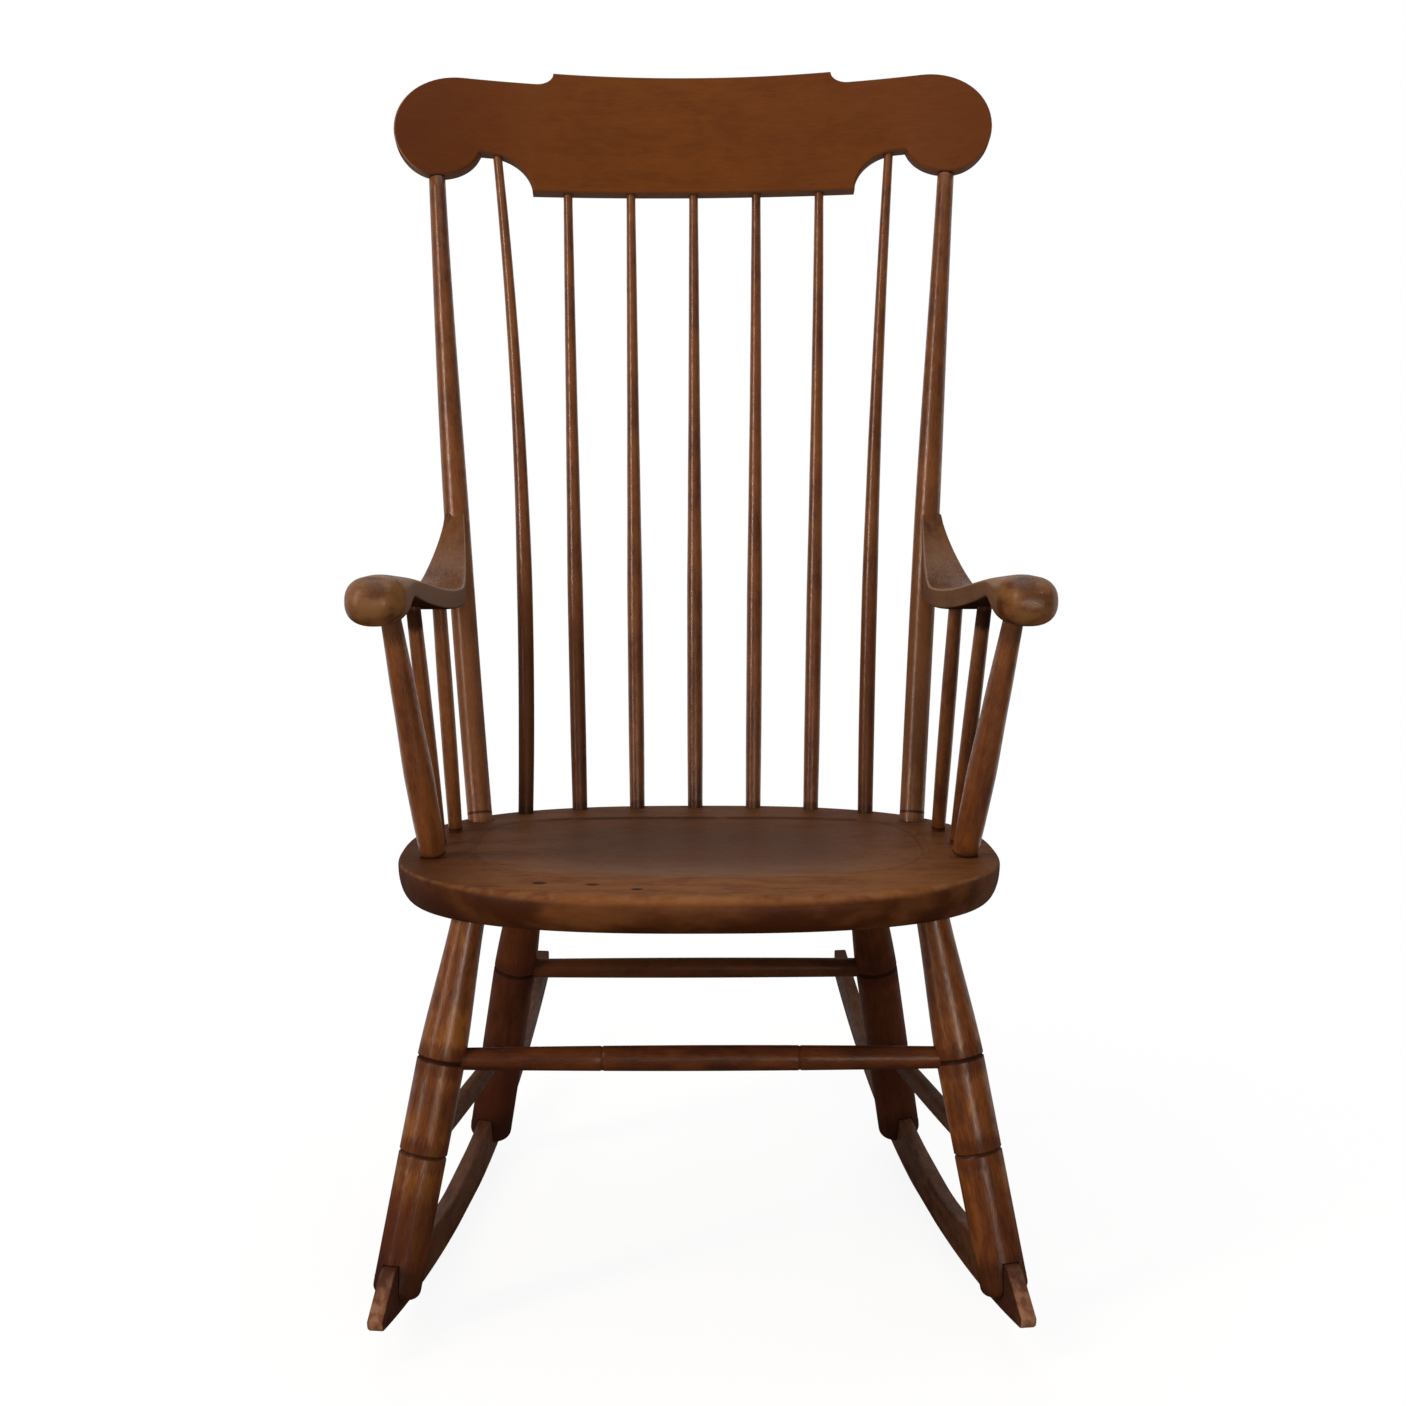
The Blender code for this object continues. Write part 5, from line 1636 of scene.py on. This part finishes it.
@dataclass
class Rockers(SubAssembly):
    """Two curved rockers that toe in to the back."""

    seat: SeatPlank
    front_foot: Point2 = (0.260, -0.184)
    rear_foot: Point2 = (0.208, 0.224)
    front_radius: float = 1.84
    rear_radius: float = 1.145
    facet: float = 0.1
    contact_y: float = 0.089
    thickness: float = 0.0135
    toe_reach: float = 0.073
    tail_reach: float = 0.316
    toe_depth: float = 0.009
    front_depth: float = 0.042
    waist_depth: float = 0.033
    rear_depth: float = 0.039
    tail_depth: float = 0.027
    nose: float = 0.005
    nose_share: float = 0.3
    points: tuple[int, int] = (70, 90)
    pad: float = 0.0246
    rounding: float = 0.0016
    slot_gap: float = 0.0007

    @property
    def turn(self) -> float:
        """The angle that each rocker toes in."""
        return math.atan2(self.front_foot[0] - self.rear_foot[0], self.rear_foot[1] - self.front_foot[1])

    def run(self, y: float) -> float:
        """The distance along a rocker from its contact to a line across the chair."""
        return (y - self.contact_y) / math.cos(self.turn)

    def floor(self, run: float) -> float:
        """The height of a rocker's bottom arc.

        Args:
            run: The distance along the rocker from its contact.

        Returns:
            The height.
        """
        radius = self.front_radius if run < 0 else self.rear_radius
        centre = math.sqrt(radius ** 2 - (self.facet / 2) ** 2)
        return max(centre - math.sqrt(radius ** 2 - run ** 2), 0.0)

    def top(self, run: float) -> float:
        """The height of a rocker's upper edge, fuller where it carries the legs.

        Args:
            run: The distance along the rocker from its contact.

        Returns:
            The height.
        """
        front, rear = self.run(self.front_foot[1]), self.run(self.rear_foot[1])
        toe, tail, waist = front - self.toe_reach, rear + self.tail_reach, (front + rear) / 2
        if run < front - self.pad:
            depth = mix(self.toe_depth, self.front_depth, (run - toe) / (front - self.pad - toe))
        elif run < waist:
            start = front + self.pad
            depth = mix(self.front_depth, self.waist_depth, ease((run - start) / (waist - start)))
        elif run < rear:
            share = ease((run - waist) / (rear - self.pad - waist))
            depth = mix(self.waist_depth, self.rear_depth, share)
        else:
            depth = mix(self.rear_depth, self.tail_depth, (run - rear) / (tail - rear))
        return self.floor(run) + depth

    def outline(self, grow: float = 0.0) -> list[Point2]:
        """A rocker's side outline, from the toe along the floor and back along the top.

        Args:
            grow: How far it is moved out below and above.

        Returns:
            The outline's points.
        """
        toe = self.run(self.front_foot[1]) - self.toe_reach
        tail = self.run(self.rear_foot[1]) + self.tail_reach
        low, high = self.points
        bevel = self.nose_share * self.nose
        points = [(toe, self.floor(toe) + self.nose - grow)]
        points.append((toe + bevel, self.floor(toe) + bevel - grow))
        runs = spread(toe + self.nose, tail - self.nose, low)
        points += [(run, self.floor(run) - grow) for run in runs]
        points.append((tail - bevel, self.floor(tail) + bevel - grow))
        points.append((tail, self.floor(tail) + self.nose - grow))
        return points + [(run, self.top(run) + grow) for run in spread(tail, toe, high)]

    def frame(self, side: Side) -> Matrix:
        """A rocker's place.

        Args:
            side: The rocker's side.

        Returns:
            The frame at the contact point, with X along the board and Y up.
        """
        along = Vector((-math.sin(self.turn) * side.value, math.cos(self.turn), 0))
        up = Vector((0, 0, 1))
        frame = Matrix((along, up, along.cross(up))).transposed().to_4x4()
        x = self.front_foot[0] - (self.contact_y - self.front_foot[1]) * math.tan(self.turn)
        frame.translation = (x * side.value, self.contact_y + self.seat.shift, 0)
        return frame

    def slot(self, side: Side, leg: Matrix) -> bpy.types.Object:
        """The cutter for a leg's slot.

        Args:
            side: The leg's side.
            leg: The leg's place.

        Returns:
            The cutter, in the leg's own frame.
        """
        width = self.thickness + 2 * self.slot_gap
        cutter = self.bench.saw("slot_cutter", self.outline(self.slot_gap), width, 0.0)
        cutter.data.transform(leg.inverted() @ self.frame(side))
        return cutter

    def build(self) -> None:
        """Saw both rockers and round them over."""
        for side in Side:
            name, frame = f"sawn_rocker_{side.word}", self.frame(side)
            board = self.bench.saw(name, self.outline(), self.thickness, self.rounding)
            self.bench.set_in(board, lambda point: frame @ point, on_x=True)
            self.bench.deliver(board, f"rocker_{side.word}", Slot.DARK, BOARD)


@dataclass
class Leg(SubAssembly):
    """One pair of legs: the left one's axis, from its foot to the seat's underside, and its rings."""

    seat: SeatPlank
    rockers: Rockers
    word: str
    foot_place: Point2
    foot_rise: float
    inset: float
    top_y: float
    rings: Point2
    finish: WoodFinish
    diameter: float = 0.041
    top_diameter: float = 0.028
    ring_half: float = 0.0021
    ring_depth: float = 0.0013
    ring_cut: tuple[Point2, ...] = ((-1.0, 0.0), (-0.7, 0.12), (-0.35, 0.75), (0.0, 1.0), (0.35, 0.75),
                                    (0.7, 0.12), (1.0, 0.0))
    end_round: float = 0.008
    taper_points: int = 24
    sides: int = 44
    socket: float = 0.018
    pin_diameter: float = 0.006
    pin_depth: float = 0.006
    ring_stain: Mark = Mark(0.0, 0.014, PLUM, 0.5)
    ring_shades: tuple[Mark, Mark] = (Mark(0.0, 0.0018, BLACK, 0.7), Mark(0.0, 0.0023, BLACK, 0.9))
    # Painted shade on the leg's lower part; the next number is its strength on the sitter's right leg.
    foot_stain: Mark = Mark(0.02, 0.085, PLUM, 0.35)
    right_stain: float = 0.7
    # Darker at the very foot.
    foot_grime: Mark = Mark(0.0, 0.032, BLACK, 0.55)

    @property
    def foot(self) -> Vector:
        """The middle of the leg's lower end."""
        x, y = self.foot_place
        return Vector((x, y + self.seat.shift, self.rockers.floor(self.rockers.run(y)) + self.foot_rise))

    @property
    def head(self) -> Vector:
        """Where the axis meets the seat's underside."""
        x = self.seat.half_width_at(self.top_y) - self.inset
        return self.seat.frame @ Vector((x, self.top_y, -self.seat.thickness))

    @property
    def length(self) -> float:
        """The distance from foot to head."""
        return (self.head - self.foot).length

    def at(self, distance: float, side: Side) -> Vector:
        """The axis point at a distance up from the foot."""
        return side.turn(self.foot.lerp(self.head, distance / self.length))

    def profile(self) -> list[Point2]:
        """Rounded foot, even lower half with two cut rings, and a taper up to the seat.

        Returns:
            Pairs of distance up from the foot and radius.
        """
        radius, top, bend = self.diameter / 2, self.top_diameter / 2, self.end_round
        points = arc((bend, radius - bend), (-bend, bend), (0, 90), 7)
        for ring in self.rings:
            points += spread_plain(points[-1][0], ring - self.ring_half, radius)
            points += [(ring + self.ring_half * step, radius - self.ring_depth * deep)
                       for step, deep in self.ring_cut]
        start = points[-1][0]
        taper = spread(start, self.length, self.taper_points)[1:]
        points += [(z, follow(((start, radius), (self.length, top)), z)) for z in taper]
        return [*points, (self.length + self.socket, top)]

    def build(self) -> None:
        """Turn both legs, slot them for the rockers and pin them."""
        for side in Side:
            matrix = laid_along(self.at(0, side), self.at(self.length, side))
            leg = self.bench.turn(f"turned_leg_{self.word}_{side.word}", self.profile(), self.sides)
            self.bench.cut(leg, self.rockers.slot(side, matrix))
            self.bench.set_in(leg, lambda point: matrix @ point)
            # Painted shade low on the leg, stronger on the sitter's right.
            low_shade = self.foot_stain
            if side is Side.RIGHT:
                low_shade = replace(low_shade, strength=self.right_stain)
            marks = [*(self.ring_stain.moved(ring) for ring in self.rings), low_shade, self.foot_grime]
            marks += [shade.moved(ring) for shade, ring in zip(self.ring_shades, self.rings)]
            finish = replace(self.finish, name=f"leg_{self.word}_wood", marks=tuple(marks))
            self.bench.deliver(leg, f"leg_{self.word}_{side.word}", Slot.MAPLE, finish)
            self._build_pin(side)

    def _build_pin(self, side: Side) -> None:
        """Turn the pin through the rocker, from outside.

        Args:
            side: Its side.
        """
        top = self.rockers.top(self.rockers.run(self.foot_place[1]))
        share = ((self.foot.z + top) / 2 - self.foot.z) / (self.head.z - self.foot.z)
        middle = self.foot.lerp(self.head, share)
        outward = Vector((math.cos(self.rockers.turn), math.sin(self.rockers.turn), 0))
        outer = middle + outward * (self.diameter / 2)
        inner = middle - outward * (self.diameter / 2 - self.pin_depth)
        ends = side.turn(outer), side.turn(inner)
        pin = self.bench.turn_pin(f"turned_pin_{self.word}_{side.word}", *ends, self.pin_diameter)
        self.bench.deliver(pin, f"rocker_pin_{self.word}_{side.word}", Slot.DARK, PEG)


@dataclass
class Undercarriage(SubAssembly):
    """Four splayed legs and the four stretchers between them."""

    front: Leg
    rear: Leg
    front_sizes: Point2 = (0.022, 0.0185)
    rear_sizes: Point2 = (0.0200, 0.0182)
    side_sizes: Point2 = (0.018, 0.0155)
    front_ring: float = 0.084
    setback: float = 0.004
    ring_half: float = 0.0015
    ring_depth: float = 0.0006
    ring_cut: tuple[Point2, ...] = ((-1.0, 0.0), (-0.5, 0.6), (0.0, 1.0), (0.5, 0.6), (1.0, 0.0))
    ring_mark: Mark = Mark(0.0, 0.0012, BLACK, 0.3)
    points: int = 36
    sides: int = 32

    def build(self) -> None:
        """Make the legs, the cross stretchers and the side stretchers."""
        for leg in (self.front, self.rear):
            leg.build()
        for leg, sizes, ring, finish in ((self.front, self.front_sizes, self.front_ring, RAIL),
                                         (self.rear, self.rear_sizes, 0.0, REAR_RAIL)):
            ends = leg.at(leg.rings[1], Side.RIGHT), leg.at(leg.rings[1], Side.LEFT)
            self._build_rail(f"{leg.word}_stretcher", ends, sizes, ring, Slot.MAPLE, finish)
        for side in Side:
            ends = self.front.at(self.front.rings[0], side), self.rear.at(self.rear.rings[0], side)
            name = f"side_stretcher_{side.word}"
            self._build_rail(name, ends, self.side_sizes, 0.0, Slot.DARK, SIDE_RAIL)

    def _build_rail(self, node: str, ends: tuple[Vector, Vector], sizes: Point2,
                    ring: float, slot: Slot, finish: WoodFinish) -> None:
        """Turn a stretcher that swells to its middle.

        Args:
            node: The node that it replaces.
            ends: Points on the axes of its legs.
            sizes: Its diameters in the middle and at the ends.
            ring: Its cut rings' distance from the middle, or 0.
            slot: Its material slot.
            finish: Its finish.
        """
        half = (ends[1] - ends[0]).length / 2
        reach = half - self.setback
        places = spread(-reach, reach, self.points)
        cuts: dict[float, float] = {}
        for centre in (-ring, ring) if ring else ():
            for step, deep in self.ring_cut:
                cuts[centre + step * self.ring_half] = deep * self.ring_depth
        profile = []
        for place in sorted([*places, *cuts]):
            swell = math.cos(math.pi * place / (2 * half))
            profile.append((place, mix(sizes[1], sizes[0], swell) / 2 - cuts.get(place, 0.0)))
        middle = (ends[0] + ends[1]) / 2
        rail = self.bench.turn_along("turned_" + node, profile, self.sides, middle, ends[1])
        if ring:
            marks = tuple(self.ring_mark.moved(place) for place in (-ring, ring))
            finish = replace(finish, name="ringed_wood", marks=marks)
        self.bench.deliver(rail, node, slot, finish)


@dataclass(frozen=True)
class Lamp:
    """A soft rectangular lamp that faces the chair, upright if it is low enough."""

    name: str
    place: Point3
    size: Point2
    power: float
    colour: Colour = WHITE
    mirrored: bool = True
    aim: float = 1.25

    def hang(self) -> None:
        """Hang the lamp; one that isn't mirrored doesn't show in reflections."""
        data = bpy.data.lights.new(self.name, "AREA")
        data.shape = "RECTANGLE"
        data.size, data.size_y = self.size
        data.energy = self.power
        data.color = self.colour
        lamp = bpy.data.objects.new(self.name, data)
        place = Vector(self.place)
        lamp.location = place
        lamp.visible_glossy = self.mirrored
        way = Vector((0, 0, min(place.z, self.aim))) - place
        lamp.rotation_euler = way.to_track_quat("-Z", "Y").to_euler()
        bpy.context.scene.collection.objects.link(lamp)


@dataclass
class Studio:
    """A white floor, soft lamps and the camera of the photograph."""

    eye: Vector = field(default_factory=lambda: Vector((-0.031, -2.2903, 0.9287)))
    pitch: float = 11.05
    yaw: float = 0.92
    roll: float = 0.12
    lens: float = 63.06
    sensor: float = 36.0
    ambient: float = 0.32
    behind: float = 0.62
    room: float = 0.06
    shine: float = 0.90
    floor_size: float = 24.0
    floor_colours: tuple[Colour, Colour, Colour] = ((0.30,) * 3, (0.06,) * 3, (0.95,) * 3)
    lamps: tuple[Lamp, ...] = (
        Lamp("left_high", (-2.40, -1.75, 2.60), (0.60, 2.4), 86.0, WARM),
        Lamp("left_low", (-2.40, -1.75, 0.55), (0.40, 0.9), 16.0, WARM),
        Lamp("right_low", (0.70, -2.90, 0.50), (0.36, 0.9), 32.0, WARM),
        Lamp("front", (0.05, -3.20, 1.30), (1.6, 1.0), 8.0),
        Lamp("top", (0.1, 0.2, 3.2), (2.5, 2.5), 27.0),
        Lamp("rear", (0.0, 3.2, 1.5), (1.8, 1.4), 48.0, mirrored=False),
        Lamp("side", (3.2, 0.9, 1.2), (1.4, 1.4), 18.0, mirrored=False))

    def build(self) -> None:
        """Set the camera, the lamps, the world and the floor."""
        self._set_view()
        self._set_camera()
        for lamp in self.lamps:
            lamp.hang()
        self._set_world()
        self._lay_floor()

    def _set_view(self) -> None:
        """Show colours as they are."""
        bpy.context.scene.view_settings.view_transform = "Standard"

    def _set_camera(self) -> None:
        """Put the camera where the photograph was taken."""
        data = bpy.data.cameras.new("photo_camera")
        data.lens = self.lens
        data.sensor_width = self.sensor
        camera = bpy.data.objects.new("photo_camera", data)
        bpy.context.scene.collection.objects.link(camera)
        turn = Matrix.Rotation(-math.radians(self.yaw), 4, "Z")
        tilt = Matrix.Rotation(math.radians(90 - self.pitch), 4, "X")
        lean = Matrix.Rotation(math.radians(self.roll), 4, "Z")
        camera.matrix_world = Matrix.Translation(self.eye) @ turn @ tilt @ lean
        bpy.context.scene.camera = camera

    def _rays(self, graph: ShaderGraph) -> tuple[Signal, Signal]:
        """Tell the rays apart.

        Args:
            graph: The nodes of the floor or the world.

        Returns:
            Rays to the camera, and rays that are mirrored or bent on their way to it.
        """
        kinds = "Camera", "Glossy", "Transmission"
        path = graph.node("ShaderNodeLightPath").socket.node
        seen, mirrored, bent = (Signal(graph, path.outputs[f"Is {kind} Ray"]) for kind in kinds)
        return seen, mirrored.at_least(bent)

    def _set_world(self) -> None:
        """Set a white background, dim where the front is mirrored, and a soft light, stronger behind."""
        world = bpy.data.worlds.new("studio")
        bpy.context.scene.world = world
        world.use_nodes = True
        graph = ShaderGraph(world.node_tree)
        way = graph.parts(graph.node("ShaderNodeTexCoord", output="Generated"))[1]
        seen, mirrored = self._rays(graph)
        shown = mirrored * (way.rise(0.0, 0.4) * (1.0 - self.room) + self.room) + seen
        background = world.node_tree.nodes["Background"].inputs
        graph.feed(background["Color"], WHITE)
        soft = way.rise(-0.1, 0.6) * (self.behind - self.ambient) + self.ambient
        graph.feed(background["Strength"], (1.0 - seen - mirrored) * soft + shown)

    def _lay_floor(self) -> None:
        """Lay a wide floor, white to the eye and dim in what it sends back."""
        bpy.ops.object.select_all(action="DESELECT")
        bpy.ops.mesh.primitive_plane_add(size=self.floor_size)
        floor = bpy.context.object
        floor.name = "floor"
        made, graph, sockets = new_material("floor_white")
        place = graph.place()
        seen, mirrored = self._rays(graph)
        seen = mirrored * graph.parts(place)[1].rise(-0.2, 0.8) + seen
        away = graph.node("ShaderNodeVectorMath", {"operation": "LENGTH"}, {0: place}, 1)
        lit, reflected, pale = self.floor_colours
        graph.feed(sockets["Base Color"], graph.blend(seen, graph.blend(mirrored, lit, reflected), pale))
        graph.feed(sockets["Roughness"], 1.0)
        graph.feed(sockets["Specular IOR Level"], 0.0)
        white = graph.node("ShaderNodeEmission", inputs={"Color": WHITE, "Strength": 1.0})
        cloth = Signal(graph, made.node_tree.nodes["Principled BSDF"].outputs[0])
        share = seen * (away.rise(0.45, 1.1) * (1.0 - self.shine) + self.shine)
        shown = graph.node("ShaderNodeMixShader", inputs={0: share, 1: cloth, 2: white})
        graph.feed(made.node_tree.nodes["Material Output"].inputs["Surface"], shown)
        floor.data.materials.append(made)


def main() -> None:
    """Load the frame, make every sub-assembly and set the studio."""
    logging.basicConfig(level=logging.INFO, format="%(message)s")
    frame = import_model()
    bench = Workbench(SEED)
    seat = SeatPlank(bench)
    back = Back(bench, seat)
    arms = Arms(bench, seat, back)
    rockers = Rockers(bench, seat)
    front = Leg(bench, seat, rockers, "front", rockers.front_foot, foot_rise=0.012, inset=0.0468,
                top_y=-0.125, rings=(0.124, 0.2055), finish=LEG)
    rear = Leg(bench, seat, rockers, "rear", rockers.rear_foot, foot_rise=0.0135, inset=0.074,
               top_y=0.169, rings=(0.0995, 0.1915), finish=REAR)
    for assembly in (seat, back, arms, rockers, Undercarriage(bench, front, rear)):
        assembly.build()
        LOG.info("%s done", type(assembly).__name__)
    for side in Side:
        bench.dress(frame["nodes"][f"arm_screw_{side.word}"], STEEL)
    Studio().build()


if __name__ == "__main__":
    main()
